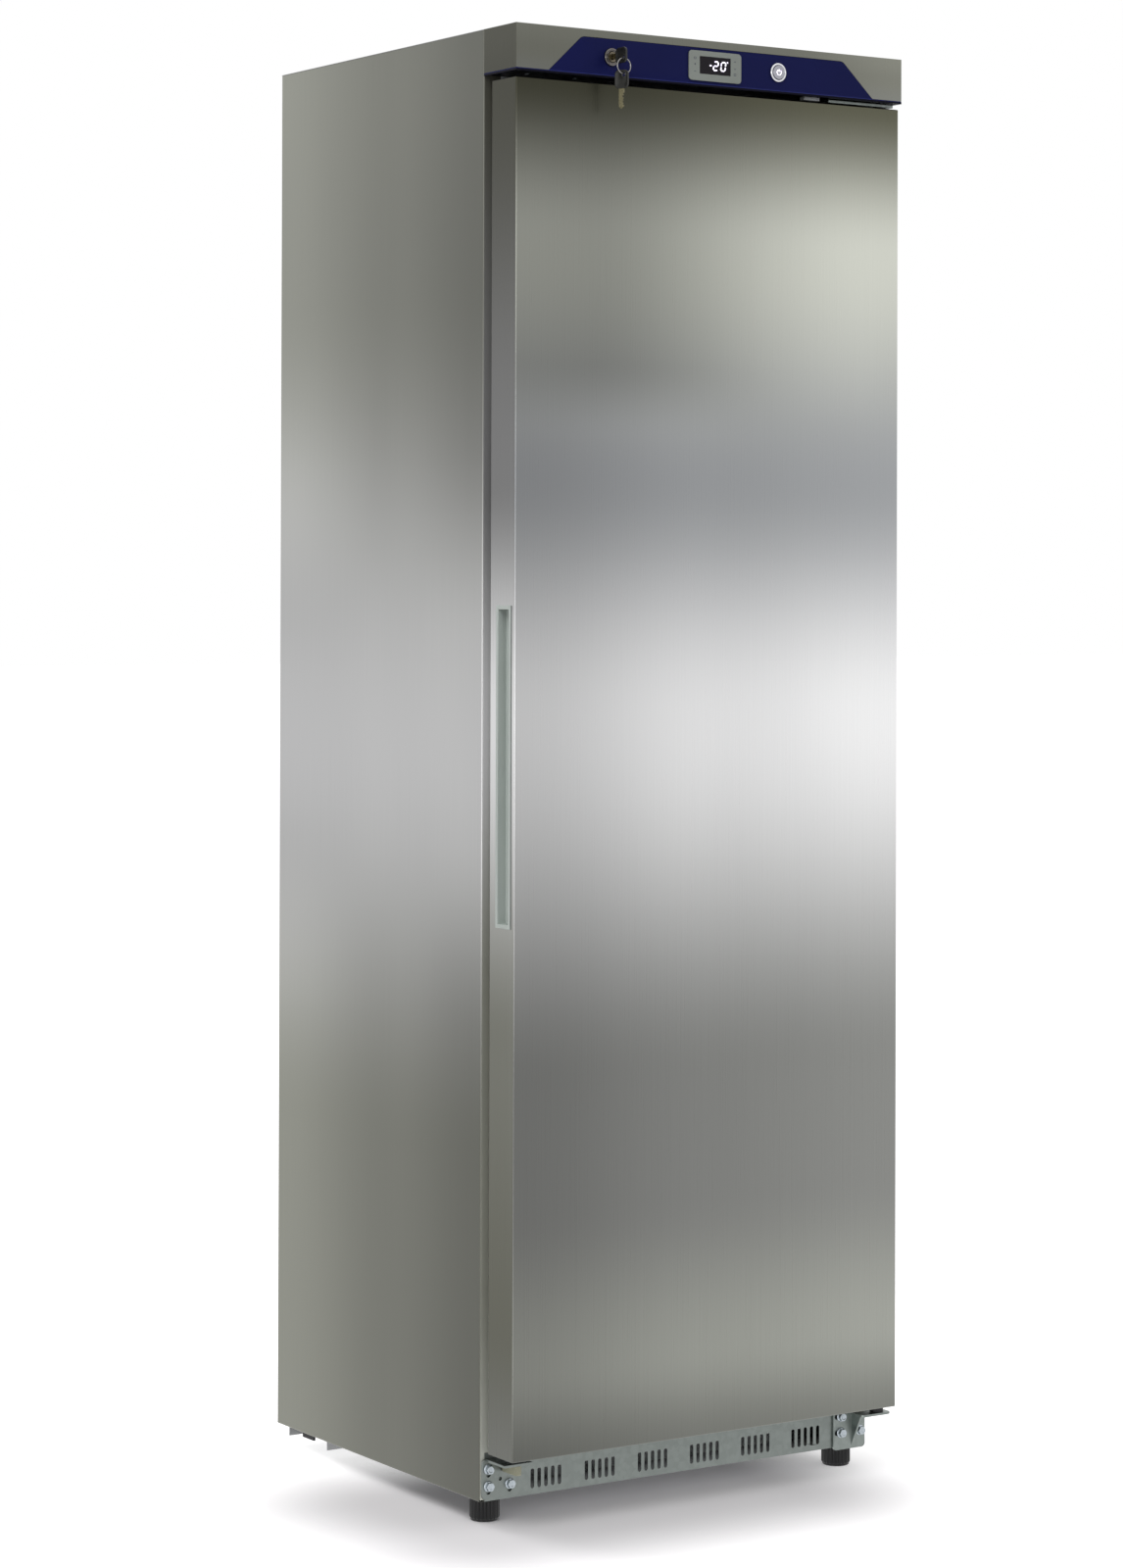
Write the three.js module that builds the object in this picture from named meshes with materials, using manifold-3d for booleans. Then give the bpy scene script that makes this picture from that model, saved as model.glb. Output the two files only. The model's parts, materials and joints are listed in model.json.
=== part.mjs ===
// Upright storage freezer in brushed stainless steel: one right-hinged door, a control fascia with a cam
// lock, six fixed evaporator shelves, a condenser on the back and a hermetic compressor below it.
//
// Millimetres, +Z up, the front faces -Y. The pieces are laid out around the cabinet's front plane (y = 0)
// and its middle (x = 0), and one group then moves them so that the origin is on the floor, under the
// middle of the whole machine.

import * as THREE from "three";
import { mergeVertices } from "three/addons/utils/BufferGeometryUtils.js";
import Module from "manifold-3d";

const wasm = await Module();
wasm.setup();

// ---------------------------------------------------------------- driving dimensions

// Clearances
const GAP = 0.3; // between pieces that touch
const HOLE_PLAY = 0.4; // radial, around a pipe, stud or bolt in its hole
const PIN_PLAY = 0.4; // radial, around a pin that something turns on
const PAST = 1; // how far a cut runs on past what it cuts
const SINK = 1; // how far a joined part runs into its neighbour in the same piece
const CHAMFER = 1; // on turned edges

// Cabinet
const WIDTH = 600;
const CABINET_DEPTH = 521;
const HEIGHT = 1860;
const FOOT_TO_UNDERSIDE = 2; // from the feet's tops to the side panels' lower edges
const SHEET = 1;
const FRONT_RETURN = 25;
const REAR_RETURN = 15;
const BOTTOM_RETURN = 14;
const BASE_HEIGHT = 61.5; // from the side panels' lower edges to the bottom panel
const MACHINE_DEPTH = 182;
const MACHINE_HEIGHT = 200; // from the bottom panel to the machine space's roof
const INSULATION = 60;
const INSULATION_TOP = 110;
const LINER = 2;

// Door
const DOOR_SIDE_INSET = 2.5; // from the cabinet's sides
const DOOR_RISE = 8.6; // from the brackets' tops to the door
const DOOR_DROP = 10.5; // from the fascia cover's lower edge to the door
const DOOR_THICKNESS = 57.4;
const DOOR_STANDOFF = 14.6; // from the cabinet's front to the back of the door's skin
const DOOR_RETURN = 12;
const DOOR_PANEL_REACH = 4; // how far the door's inner panel reaches into the cabinet
const DOOR_PANEL_PLAY = 8; // between that panel and the liner's walls
const GASKET_WIDTH = 28;
const GASKET_INSET = 15.5; // from the door's edges to the gasket

// Grip moulding in the door's left edge
const GRIP_FRAME_WIDTH = 34;
const GRIP_FRAME_LENGTH = 398.5;
const GRIP_FRAME_PROUD = 1;
const GRIP_FRAME_LIP = 5;
const GRIP_RAISE = 1.1; // of the grip's middle above the door's middle
const GRIP_FRONT_INSET = 7.7; // from the door's front to the frame
const GRIP_SHALLOW = 11;
const GRIP_DEEP = 24;
const GRIP_UNDERCUT = 2.2;
const GRIP_WALL = 2;

// Door hinge
const HINGE_SIDE_INSET = 17.5; // from the cabinet's side to the axis
const HINGE_REACH = 50; // from the cabinet's front to the axis
const HINGE_PIN_RADIUS = 4;
const HINGE_PIN_GRIP = 20; // length of pin inside the door
const BUSH_RADIUS = 7.5;
const BUSH_FLANGE_RADIUS = 9;
const BUSH_FLANGE = 2;
const BUSH_END = 4;
const TOP_HINGE_PLATE = 4;
const TOP_HINGE_LENGTH = 106;
const TOP_HINGE_EDGE = 12; // plate in front of the pin's axis
const TOP_HINGE_FLANGE = 50;
const TOP_HINGE_SIDE = 4; // from the cabinet's side to the plate's end

// Fascia
const FASCIA_DEPTH = 75;
const FASCIA_HEIGHT = 55.3;
const LIP_HEIGHT = 3.1;
const LIP_WIDTH = 3;
const UNDERSIDE_RAISE = 1; // of the moulding's underside above its lip's lower edge
const FASCIA_WALL = 2;
const FACE_TOP_MARGIN = 9.8;
const FACE_TOP_INSET = 97; // from the cabinet's sides
const FACE_BOTTOM_INSET = 48;
const FACE_TOP_ROUND = 12;

// Temperature display
const DISPLAY_X = -1.4;
const DISPLAY_DROP = 32.8; // below the machine's top
const DISPLAY_WIDTH = 81.4;
const DISPLAY_HEIGHT = 38;
const DISPLAY_CORNER = 5;
const DISPLAY_PROUD = 2;
const DISPLAY_BODY_WIDTH = 71;
const DISPLAY_BODY_HEIGHT = 29;
const DISPLAY_BODY_DEPTH = 45;
const SCREEN_WIDTH = 48;
const SCREEN_HEIGHT = 22.2;
const SCREEN_RAISE = 1;
const SCREEN_RECESS = 1.2;

// Push button
const BUTTON_INSET = 202; // from the right side
const BUTTON_DROP = 32.4;
const BUTTON_RIM_RADIUS = 12.3;
const BUTTON_RIM_HEIGHT = 3;
const BUTTON_SLEEVE_RADIUS = 10.8;
const BUTTON_SLEEVE_LENGTH = 22;
const BUTTON_CAP_RADIUS = 8.9;
const BUTTON_CAP_PROUD = 1; // beyond the rim
const BUTTON_CAP_LENGTH = 18;

// Cam lock and keys
const LOCK_INSET = 141; // from the left side
const LOCK_DROP = 32.5;
const LOCK_RIM_RADIUS = 11.2;
const LOCK_RIM_HEIGHT = 3;
const LOCK_BODY_RADIUS = 9.3;
const LOCK_BODY_LENGTH = 22;
const PLUG_RADIUS = 6.4;
const TAIL_SIZE = 6;
const TAIL_LENGTH = 3.5;
const CAM_LENGTH = 40;
const CAM_WIDTH = 10;
const CAM_HUB_RADIUS = 8;
const CAM_THICKNESS = 2;
const KEY_THICKNESS = 2.6;
const KEY_HEAD_WIDTH = 19.5;
const KEY_HEAD_LENGTH = 23.5;
const KEY_HEAD_CORNER = 6;
const KEY_HEAD_STANDOFF = 7.5; // from the lock's rim to the head
const KEY_HOLE_RADIUS = 2.6;
const KEY_HOLE_END = 6; // from the hole's centre to the head's end
const KEY_HOLE_OFFSET = 3.2; // the ring hangs in a hole above the key's middle
const BLADE_WIDTH = 7;
const BLADE_THICKNESS = 2;
const BLADE_LENGTH = 25;
const RING_RADIUS = 9.4;
const RING_WIRE_RADIUS = 1;
const SPARE_TURN = 25; // degrees about the vertical
const KEEPER_WALL = 3;
const KEEPER_FLANGE = 1;
const KEEPER_PLAY = 2;
const KEEPER_SLOT_WIDTH = 7;

// Kick panel
const KICK_THICKNESS = 1.2;
const KICK_SIDE_INSET = 6.5;
const KICK_RAISE = 0.5; // above the side panels' lower edges
const KICK_DROP = 1; // below the bottom panel
const VENT_GROUPS = 6;
const VENTS_PER_GROUP = 5;
const VENT_GROUP_PITCH = 81.1;
const VENT_PITCH = 10.1;
const VENT_WIDTH = 5.2;
const VENT_LENGTH = 25;
const VENT_RAISE = 20; // of the vents' middle above the kick panel's lower edge

// Brackets below the door
const BRACKET = 3; // plate thickness
const BRACKET_WIDTH = 52;
const BRACKET_SIDE_INSET = 1.5; // from the cabinet's side
const BRACKET_DROP = 8; // below the bottom panel
const BRACKET_CORNER = 5;
const HINGE_BRACKET_HEIGHT = 56.4;
const HINGE_BRACKET_EDGE = 11; // plate in front of the pin's axis
const GUSSET_INSET = 22.5;
const GUSSET_REACH = 24;
const GUSSET_HEIGHT = 49; // below the bracket's shelf
const STOP_BRACKET_HEIGHT = 50;
const TONGUE_REACH = 45;
const TONGUE_SIDE_CUT = 5.5;
const REST_BLOCK_INSET = 33.5;
const REST_BLOCK_WIDTH = 8.5;
const REST_BLOCK_HEIGHT = 14;
const REST_BLOCK_LENGTH = 32;
const REST_BLOCK_SETBACK = 9; // behind the tongue's front edge
const SPARE_HOLE_INSET = 27.5;
const SPARE_HOLE_DROP = 26.5; // below the bracket's top
const SPARE_HOLE_RADIUS = 2.4;

// Flange bolts
const BOLT_RADIUS = 3;
const BOLT_LENGTH = 12;
const BOLT_FLANGE_RADIUS = 6.8;
const BOLT_FLANGE = 1.2;
const BOLT_HEX_RADIUS = 5.7;
const BOLT_HEX_HEIGHT = 5;
const BOLT_INNER_INSET = 41.2;
const BOLT_OUTER_INSET = 10.2;
const BOLT_LOW_DROP = 33.8; // below the brackets' tops
const BOLT_HIGH_DROP = 12.6;
const SLOT_REACH = 10.2; // from the bolt's middle to the slot's far end

// Base rail and front feet
const RAIL_THICKNESS = 2;
const RAIL_FRONT = 3;
const RAIL_DEPTH = 57;
const RAIL_FRONT_FLANGE = 6;
const RAIL_TAB_WIDTH = 58; // upright tabs behind the brackets, which the bolts screw into
const RAIL_TAB_DROP = 3; // below the bottom panel
const RAIL_REAR_FLANGE = 14;
const FOOT_INSET = 25;
const FOOT_Y = 28;
const FOOT_RADIUS = 19.3;
const FOOT_HEIGHT = 27.5;
const FOOT_RIBS = 24;
const FOOT_RIB_DEPTH = 0.9;
const FOOT_SOLE = 3;
const FOOT_SOLE_INSET = 1.4;
const STUD_RADIUS = 5;
const STUD_LENGTH = 30;

// Compressor tray and rear rollers
const TRAY_THICKNESS = 1.5;
const TRAY_DEPTH = 105;
const TRAY_REAR_INSET = 8; // from the cabinet's rear edge
const TRAY_FLANGE = 18.8;
const ROLLER_RADIUS = 14;
const ROLLER_WIDTH = 21;
const ROLLER_INSET = 65;
const AXLE_RADIUS = 3;
const EAR = 4;
const EAR_BOTTOM_Z = 8;
const HOUSING_DEPTH = 30;
const HOUSING_BLOCK = 8.5;
const HOUSING_SKIRT = 3;
const HOUSING_SKIRT_Z = 17.6;

// Compressor and what is joined to it
const COMPRESSOR_X = 60;
const COMPRESSOR_SETBACK = 81; // from the cabinet's rear edge to its middle
const COMPRESSOR_HALF_X = 95;
const COMPRESSOR_HALF_Y = 74;
const COMPRESSOR_HEIGHT = 165;
const COMPRESSOR_SEAM = 0.55; // height of the weld seam, as a share of the whole
const COMPRESSOR_SEAM_HALF = 3;
// The shell's outline: how far out, as a share of the half width, and how high, as a share of the height
const LOWER_SHELL = [[0.7, 0], [0.88, 0.073], [0.96, 0.182]];
const UPPER_SHELL = [[0.93, 0.758], [0.76, 0.909], [0.45, 0.976]];
const SHELL_WALL = 0.97; // of the half width, beside the seam
const COMPRESSOR_BASE = 3;
const COMPRESSOR_BASE_X = 210;
const COMPRESSOR_BASE_Y = 96;
const COMPRESSOR_FOOT = 14;
const COMPRESSOR_FOOT_RADIUS = 11;
const STUB_RISE = 13.4; // above the compressor's top
const STUB_SPREAD = 90;
const STUB_OFFSET = 30; // behind the compressor's middle
const RELAY_REACH = 100; // from the compressor's middle to the relay's seat
const RELAY_RAISE = 73.4; // of its middle above the compressor's base
const RELAY_SEAT = 34; // width and height of the seat under the relay
const RELAY_DEPTH = 30;
const RELAY_WIDTH = 50;
const RELAY_HEIGHT = 56;
const GLAND_RADIUS = 8;
const GLAND_NUT_RADIUS = 11;
const GLAND_NUT = 7;
const GLAND_LENGTH = 20;
const SUCTION_RADIUS = 5;
const SUCTION_IN_FOAM = 14;

// Condenser on the back
const CONDENSER_STANDOFF = 25; // from the cabinet's rear edge to the tubes' middle
const CONDENSER_TUBE_RADIUS = 2.5;
const CONDENSER_RUNS = 17;
const CONDENSER_BEND = 30;
const CONDENSER_SIDE_INSET = 42;
const CONDENSER_DROP = 160; // of its top below the machine's top
const CONDENSER_RAISE = 209; // of its lowest run above the machine space's roof
const CONDENSER_END_RAISE = 39;
const CONDENSER_RISER_INSET = 30;
const CONDENSER_BRACKET_INSET = 120;
const CONDENSER_BRACKET_WIDTH = 14;
const CONDENSER_BRACKET_HEIGHT = 12;
const PIPE_BEND = 18;
const PIPE_DROP = 29; // of the level pipes below the machine space's roof
const DRIER_RADIUS = 9;
const DRIER_LENGTH = 104;
const DRIER_DROP = 48; // of its top below the level pipes
const DRIER_SETBACK = 26;

// Evaporator shelves
const SHELVES = 6;
const TOP_LEVEL_HEIGHT = 234.8; // from the top shelf to the cavity's ceiling
const FIRST_SHELF_RISE = 12; // above the step in the cavity's floor
const SHELF_TUBE_RADIUS = 4;
const SHELF_RUNS = 10;
const SHELF_SIDE_PLAY = 11.4; // from the cavity's walls to the outermost runs
const SHELF_FRONT_Y = 35;
const RISER_SETBACK = 21; // from the cavity's back to the risers
const RISER_BEND = 20;
const RISER_STUB = 10; // straight tube below each shelf's inlet bend
const TUBE_IN_FOAM = 12;
const LEDGE_DEPTH = 17;
const LEDGE_HEIGHT = 6;

// Facets
const ROUND = 32;
const WHEEL_ROUND = 24;
const SMALL_ROUND = 16;
const TINY_ROUND = 12;
const SLOT_ROUND = 8;
const HEXAGON = 6;
const TUBE_SIDES = 6;
const PIPE_SIDES = 8;
const BEND_STEPS = 2;

// ---------------------------------------------------------------- derived places

const HALF = WIDTH / 2;
const UNDERSIDE_Z = FOOT_HEIGHT + FOOT_TO_UNDERSIDE;
const BOTTOM_PANEL_Z = UNDERSIDE_Z + BASE_HEIGHT;
const MACHINE_ROOF_Z = BOTTOM_PANEL_Z + MACHINE_HEIGHT;
const SKIN_X = HALF - SHEET - GAP; // foam and inner sheets reach this far
const PANEL_TOP_Z = HEIGHT - SHEET - GAP;
const FOAM_FRONT = LINER + GAP;
const BACK_PANEL_REAR = CABINET_DEPTH - SHEET - GAP;
const BACK_PANEL_FRONT = BACK_PANEL_REAR - SHEET;
const FOAM_BACK = BACK_PANEL_FRONT - GAP;
const STEP_Y = CABINET_DEPTH - MACHINE_DEPTH;
const CAVITY_X = SKIN_X - INSULATION - GAP - LINER;
const CAVITY_BACK = FOAM_BACK - INSULATION - GAP - LINER;
const CAVITY_FLOOR = BOTTOM_PANEL_Z + SHEET + 2 * GAP + INSULATION + LINER;
const CAVITY_TOP = PANEL_TOP_Z - INSULATION_TOP - GAP - LINER;
const CAVITY_STEP_Y = STEP_Y - SHEET - 2 * GAP - INSULATION - LINER;
const CAVITY_STEP_Z = MACHINE_ROOF_Z + SHEET + 2 * GAP + INSULATION + LINER;

const BRACKET_TOP_Z = BOTTOM_PANEL_Z - BRACKET_DROP;
const FASCIA_BOTTOM_Z = HEIGHT - FASCIA_HEIGHT;
const DOOR_X = HALF - DOOR_SIDE_INSET;
const DOOR_BOTTOM_Z = BRACKET_TOP_Z + DOOR_RISE;
const DOOR_TOP_Z = FASCIA_BOTTOM_Z - DOOR_DROP;
const GRIP_CENTRE_Z = (DOOR_BOTTOM_Z + DOOR_TOP_Z) / 2 + GRIP_RAISE;
const DOOR_BACK = -DOOR_STANDOFF;
const DOOR_FRONT = DOOR_BACK - DOOR_THICKNESS;
const DOOR_LINER_REAR = DOOR_BACK - SHEET - GAP;
const DOOR_LINER_FRONT = DOOR_LINER_REAR - LINER;
const DOOR_PANEL_X = CAVITY_X - DOOR_PANEL_PLAY;
const DOOR_PANEL_LOW = CAVITY_FLOOR + DOOR_PANEL_PLAY;
const DOOR_PANEL_HIGH = CAVITY_TOP - DOOR_PANEL_PLAY;
const DOOR_INNER_X = DOOR_X - SHEET - GAP;

const AXIS_X = HALF - HINGE_SIDE_INSET;
const AXIS_Y = -HINGE_REACH;

const FASCIA_FRONT = -FASCIA_DEPTH;
const LIP_TOP = FASCIA_BOTTOM_Z - GAP;
const LIP_BOTTOM = LIP_TOP - LIP_HEIGHT;
const PANEL_FACE = FASCIA_FRONT + SHEET + GAP; // front of the moulding, behind the cover
const PANEL_PAD = FASCIA_FRONT + GAP; // front of the pad that fills the cover's window
const PANEL_BACK = PANEL_FACE + FASCIA_WALL;
const UNDERSIDE_TOP = LIP_BOTTOM + UNDERSIDE_RAISE + FASCIA_WALL;
const FACE_TOP_HALF = HALF - FACE_TOP_INSET;
const FACE_BOTTOM_HALF = HALF - FACE_BOTTOM_INSET;
const DISPLAY_Z = HEIGHT - DISPLAY_DROP;
const BUTTON_X = HALF - BUTTON_INSET;
const BUTTON_Z = HEIGHT - BUTTON_DROP;
const LOCK_X = LOCK_INSET - HALF;
const LOCK_Z = HEIGHT - LOCK_DROP;
const TOP_HINGE_TOP = LIP_BOTTOM - GAP;
const TOP_HINGE_BOTTOM = TOP_HINGE_TOP - TOP_HINGE_PLATE;

const LOCK_BACK = FASCIA_FRONT + LOCK_BODY_LENGTH;
const CAM_FRONT = LOCK_BACK + GAP;
const CAM_BACK = CAM_FRONT + CAM_THICKNESS;
const CAM_MIDDLE = (CAM_FRONT + CAM_BACK) / 2;
const CAM_SWEEP = Math.hypot(CAM_LENGTH, CAM_WIDTH / 2);
const KEY_SHOULDER = FASCIA_FRONT - LOCK_RIM_HEIGHT - KEY_HEAD_STANDOFF;
const KEY_END = KEY_SHOULDER - KEY_HEAD_LENGTH;
const RING_Y = KEY_END + KEY_HOLE_END;
const KEY_HOLE_Z = LOCK_Z - KEY_HOLE_OFFSET;
const RING_TOP_Z = KEY_HOLE_Z - KEY_HOLE_RADIUS + RING_WIRE_RADIUS + GAP;
const RING_CENTRE_Z = RING_TOP_Z - RING_RADIUS;
const SPARE_PIVOT_Z = RING_CENTRE_Z - RING_RADIUS;

const KICK_HALF_WIDTH = HALF - KICK_SIDE_INSET;
const KICK_BOTTOM_Z = UNDERSIDE_Z + KICK_RAISE;
const KICK_TOP_Z = BOTTOM_PANEL_Z - KICK_DROP;
const VENT_CENTRE_Z = KICK_BOTTOM_Z + VENT_RAISE;
const KICK_BACK = -GAP;
const KICK_FRONT = KICK_BACK - KICK_THICKNESS;
const BRACKET_BACK = KICK_FRONT - GAP;
const BRACKET_FRONT = BRACKET_BACK - BRACKET;
const BRACKET_OUTER = HALF - BRACKET_SIDE_INSET;
const BRACKET_INNER = BRACKET_OUTER - BRACKET_WIDTH;
const BRACKET_UNDER_Z = BRACKET_TOP_Z - BRACKET;
const BOLT_INNER_X = HALF - BOLT_INNER_INSET;
const BOLT_OUTER_X = HALF - BOLT_OUTER_INSET;
const BOLT_LOW_Z = BRACKET_TOP_Z - BOLT_LOW_DROP;
const BOLT_HIGH_Z = BRACKET_TOP_Z - BOLT_HIGH_DROP;
const FOOT_X = HALF - FOOT_INSET;

const FLOOR_PLATE_Z = UNDERSIDE_Z + SHEET + GAP; // seat of the base rail and the tray
const TRAY_TOP_Z = FLOOR_PLATE_Z + TRAY_THICKNESS;
const TRAY_REAR = CABINET_DEPTH - TRAY_REAR_INSET;
const TRAY_FRONT = TRAY_REAR - TRAY_DEPTH;
const ROLLER_X = HALF - ROLLER_INSET;
const ROLLER_Y = (TRAY_FRONT + TRAY_REAR) / 2;
const TRAY_FLANGE_X = HALF - BOTTOM_RETURN - GAP;

const COMPRESSOR_Y = CABINET_DEPTH - COMPRESSOR_SETBACK;
const COMPRESSOR_LOW = TRAY_TOP_Z + GAP + COMPRESSOR_FOOT;
const COMPRESSOR_TOP = COMPRESSOR_LOW + COMPRESSOR_HEIGHT;
const STUB_Y = COMPRESSOR_Y + STUB_OFFSET;
const STUB_TOP_Z = COMPRESSOR_TOP + STUB_RISE;
const RELAY_SEAT_X = COMPRESSOR_X + RELAY_REACH;
const RELAY_Z = COMPRESSOR_LOW + RELAY_RAISE;
const CONDENSER_Y = CABINET_DEPTH + CONDENSER_STANDOFF;
const CONDENSER_BACK = CONDENSER_Y + CONDENSER_TUBE_RADIUS;
const CONDENSER_X = HALF - CONDENSER_SIDE_INSET;
const CONDENSER_TOP_Z = HEIGHT - CONDENSER_DROP;
const CONDENSER_LOW_Z = MACHINE_ROOF_Z + CONDENSER_RAISE;
const CONDENSER_END_Z = MACHINE_ROOF_Z + CONDENSER_END_RAISE;
const CONDENSER_PITCH = (CONDENSER_TOP_Z - CONDENSER_LOW_Z) / (CONDENSER_RUNS - 1);
const CONDENSER_RISER_X = HALF - CONDENSER_RISER_INSET;
const CONDENSER_BRACKET_X = HALF - CONDENSER_BRACKET_INSET;
const PIPE_LEVEL_Z = MACHINE_ROOF_Z - PIPE_DROP;
const DRIER_X = -CONDENSER_X;
const DRIER_Y = CABINET_DEPTH - DRIER_SETBACK;
const DRIER_TOP_Z = PIPE_LEVEL_Z - DRIER_DROP;

const FIRST_SHELF_Z = CAVITY_STEP_Z + FIRST_SHELF_RISE;
const SHELF_PITCH = (CAVITY_TOP - TOP_LEVEL_HEIGHT - FIRST_SHELF_Z) / (SHELVES - 1);
const SHELF_HALF = CAVITY_X - SHELF_SIDE_PLAY;
const SHELF_RUN_PITCH = (2 * SHELF_HALF) / (SHELF_RUNS - 1);
const RISER_Y = CAVITY_BACK - RISER_SETBACK;
const SHELF_BACK_Y = RISER_Y - RISER_BEND;

const SPARE_ANGLE = THREE.MathUtils.degToRad(SPARE_TURN);
const SPARE_HALF = KEY_HEAD_WIDTH / 2 - KEY_HOLE_OFFSET;
const SPARE_REACH = SPARE_HALF * Math.cos(SPARE_ANGLE) + (KEY_THICKNESS / 2) * Math.sin(SPARE_ANGLE);
const FRONT_MOST = Math.min(KEY_END, RING_Y - SPARE_REACH);
const REAR_MOST = CONDENSER_BACK;

// ---------------------------------------------------------------- geometry helpers

// A closed three.js geometry as a manifold-3d solid.
function solid(geometry) {
  const bare = geometry.clone();
  bare.deleteAttribute("normal");
  bare.deleteAttribute("uv");
  const merged = mergeVertices(bare, 1e-4);
  const mesh = new wasm.Mesh({
    numProp: 3,
    vertProperties: new Float32Array(merged.attributes.position.array),
    triVerts: new Uint32Array(merged.index.array),
  });
  return new wasm.Manifold(mesh);
}

// A manifold-3d solid as a three.js geometry.
function geometryOf(manifold) {
  const mesh = manifold.getMesh();
  const geometry = new THREE.BufferGeometry();
  geometry.setAttribute("position", new THREE.BufferAttribute(mesh.vertProperties, 3));
  geometry.setIndex(new THREE.BufferAttribute(mesh.triVerts, 1));
  return geometry;
}

function join(...geometries) {
  return geometryOf(geometries.map(solid).reduce((whole, piece) => whole.add(piece)));
}

function cut(geometry, ...tools) {
  return geometryOf(tools.map(solid).reduce((whole, tool) => whole.subtract(tool), solid(geometry)));
}

// A block between two corners, given in any order.
function block([xa, xb], [ya, yb], [za, zb]) {
  const geometry = new THREE.BoxGeometry(Math.abs(xb - xa), Math.abs(yb - ya), Math.abs(zb - za));
  return geometry.translate((xa + xb) / 2, (ya + yb) / 2, (za + zb) / 2);
}

function turnedTo(geometry, axis) {
  if (axis === "x") geometry.rotateZ(-Math.PI / 2);
  if (axis === "z") geometry.rotateX(Math.PI / 2);
  return geometry;
}

// A cylinder along an axis between two places on it; a cone where the two radii differ.
function rod(axis, [x, y, z], [from, to], radius, sides = ROUND, endRadius = radius) {
  const geometry = new THREE.CylinderGeometry(endRadius, radius, to - from, sides);
  turnedTo(geometry, axis);
  const middle = (from + to) / 2;
  if (axis === "x") return geometry.translate(middle, y, z);
  if (axis === "y") return geometry.translate(x, middle, z);
  return geometry.translate(x, y, middle);
}

// A closed profile of [radius, height] points turned about a line along an axis.
function turned(axis, [x, y, z], profile, sides = ROUND) {
  const points = profile.map(([radius, height]) => new THREE.Vector2(radius, height));
  const first = profile[0];
  if (first[0] > 0) points.push(new THREE.Vector2(first[0], first[1]));
  const geometry = turnedTo(new THREE.LatheGeometry(points, sides), axis);
  return geometry.translate(x, y, z);
}

// An outline whose corners [x, y, radius] are rounded with arcs.
function roundedOutline(corners) {
  const shape = new THREE.Shape();
  corners.forEach(([x, y, radius], i) => {
    const corner = new THREE.Vector2(x, y);
    const before = new THREE.Vector2(...corners[(i + corners.length - 1) % corners.length]);
    const after = new THREE.Vector2(...corners[(i + 1) % corners.length]);
    const back = before.sub(corner).normalize();
    const ahead = after.sub(corner).normalize();
    if (!radius) {
      if (i === 0) shape.moveTo(x, y);
      else shape.lineTo(x, y);
      return;
    }
    const halfAngle = Math.acos(back.dot(ahead)) / 2;
    const toTangent = radius / Math.tan(halfAngle);
    const start = corner.clone().addScaledVector(back, toTangent);
    const end = corner.clone().addScaledVector(ahead, toTangent);
    const toCentre = back.clone().add(ahead).normalize();
    const centre = corner.clone().addScaledVector(toCentre, radius / Math.sin(halfAngle));
    const from = Math.atan2(start.y - centre.y, start.x - centre.x);
    const to = Math.atan2(end.y - centre.y, end.x - centre.x);
    if (i === 0) shape.moveTo(start.x, start.y);
    else shape.lineTo(start.x, start.y);
    const clockwise = back.cross(ahead) > 0;
    shape.absarc(centre.x, centre.y, radius, from, to, clockwise);
  });
  shape.closePath();
  return shape;
}

function rectangle([xa, xb], [ya, yb], radius = 0) {
  const corners = [[xa, ya], [xb, ya], [xb, yb], [xa, yb]];
  return roundedOutline(corners.map(([x, y]) => [x, y, radius]));
}

// Outlines pushed along an axis. The outline's own axes are X and Z for a push along Y, Y and Z for one
// along X, and X and Y for one along Z.
function pushed(axis, shape, [from, to], curveSegments = 5) {
  const options = { depth: to - from, bevelEnabled: false, curveSegments };
  const geometry = new THREE.ExtrudeGeometry(shape, options);
  if (axis === "x") {
    const turn = new THREE.Matrix4().makeBasis(
      new THREE.Vector3(0, 1, 0),
      new THREE.Vector3(0, 0, 1),
      new THREE.Vector3(1, 0, 0),
    );
    return geometry.applyMatrix4(turn).translate(from, 0, 0);
  }
  if (axis === "y") return geometry.rotateX(Math.PI / 2).translate(0, to, 0);
  return geometry.translate(0, 0, from);
}

function outline(points) {
  return new THREE.Shape(points.map(([x, y]) => new THREE.Vector2(x, y)));
}

// A slot with round ends along an axis of a plate in the XZ plane.
function obround([x, z], [dx, dz], halfWidth, [from, to], sides) {
  const across = dx ? [0, halfWidth] : [halfWidth, 0];
  const centres = [[x, z], [x + dx, z + dz]];
  const ends = centres.map(([ex, ez]) => rod("y", [ex, 0, ez], [from, to], halfWidth, sides));
  const middle = block(
    [Math.min(x, x + dx) - across[0], Math.max(x, x + dx) + across[0]],
    [from, to],
    [Math.min(z, z + dz) - across[1], Math.max(z, z + dz) + across[1]],
  );
  return join(...ends, middle);
}

// The stops of a pipe: corner points joined by straight runs, each corner rounded to a bend radius.
function pipeStops(corners, bend) {
  const points = corners.map((corner) => new THREE.Vector3(...corner));
  const stops = [points[0]];
  for (let i = 1; i < points.length - 1; i += 1) {
    const back = points[i - 1].clone().sub(points[i]).normalize();
    const ahead = points[i + 1].clone().sub(points[i]).normalize();
    const centre = points[i].clone().addScaledVector(back, bend).addScaledVector(ahead, bend);
    for (let step = 0; step <= BEND_STEPS; step += 1) {
      const angle = (step / BEND_STEPS) * (Math.PI / 2);
      const stop = centre
        .clone()
        .addScaledVector(ahead, -bend * Math.cos(angle))
        .addScaledVector(back, -bend * Math.sin(angle));
      if (stop.distanceTo(stops[stops.length - 1]) > GAP / 10) stops.push(stop);
    }
  }
  stops.push(points[points.length - 1]);
  return stops;
}

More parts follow.
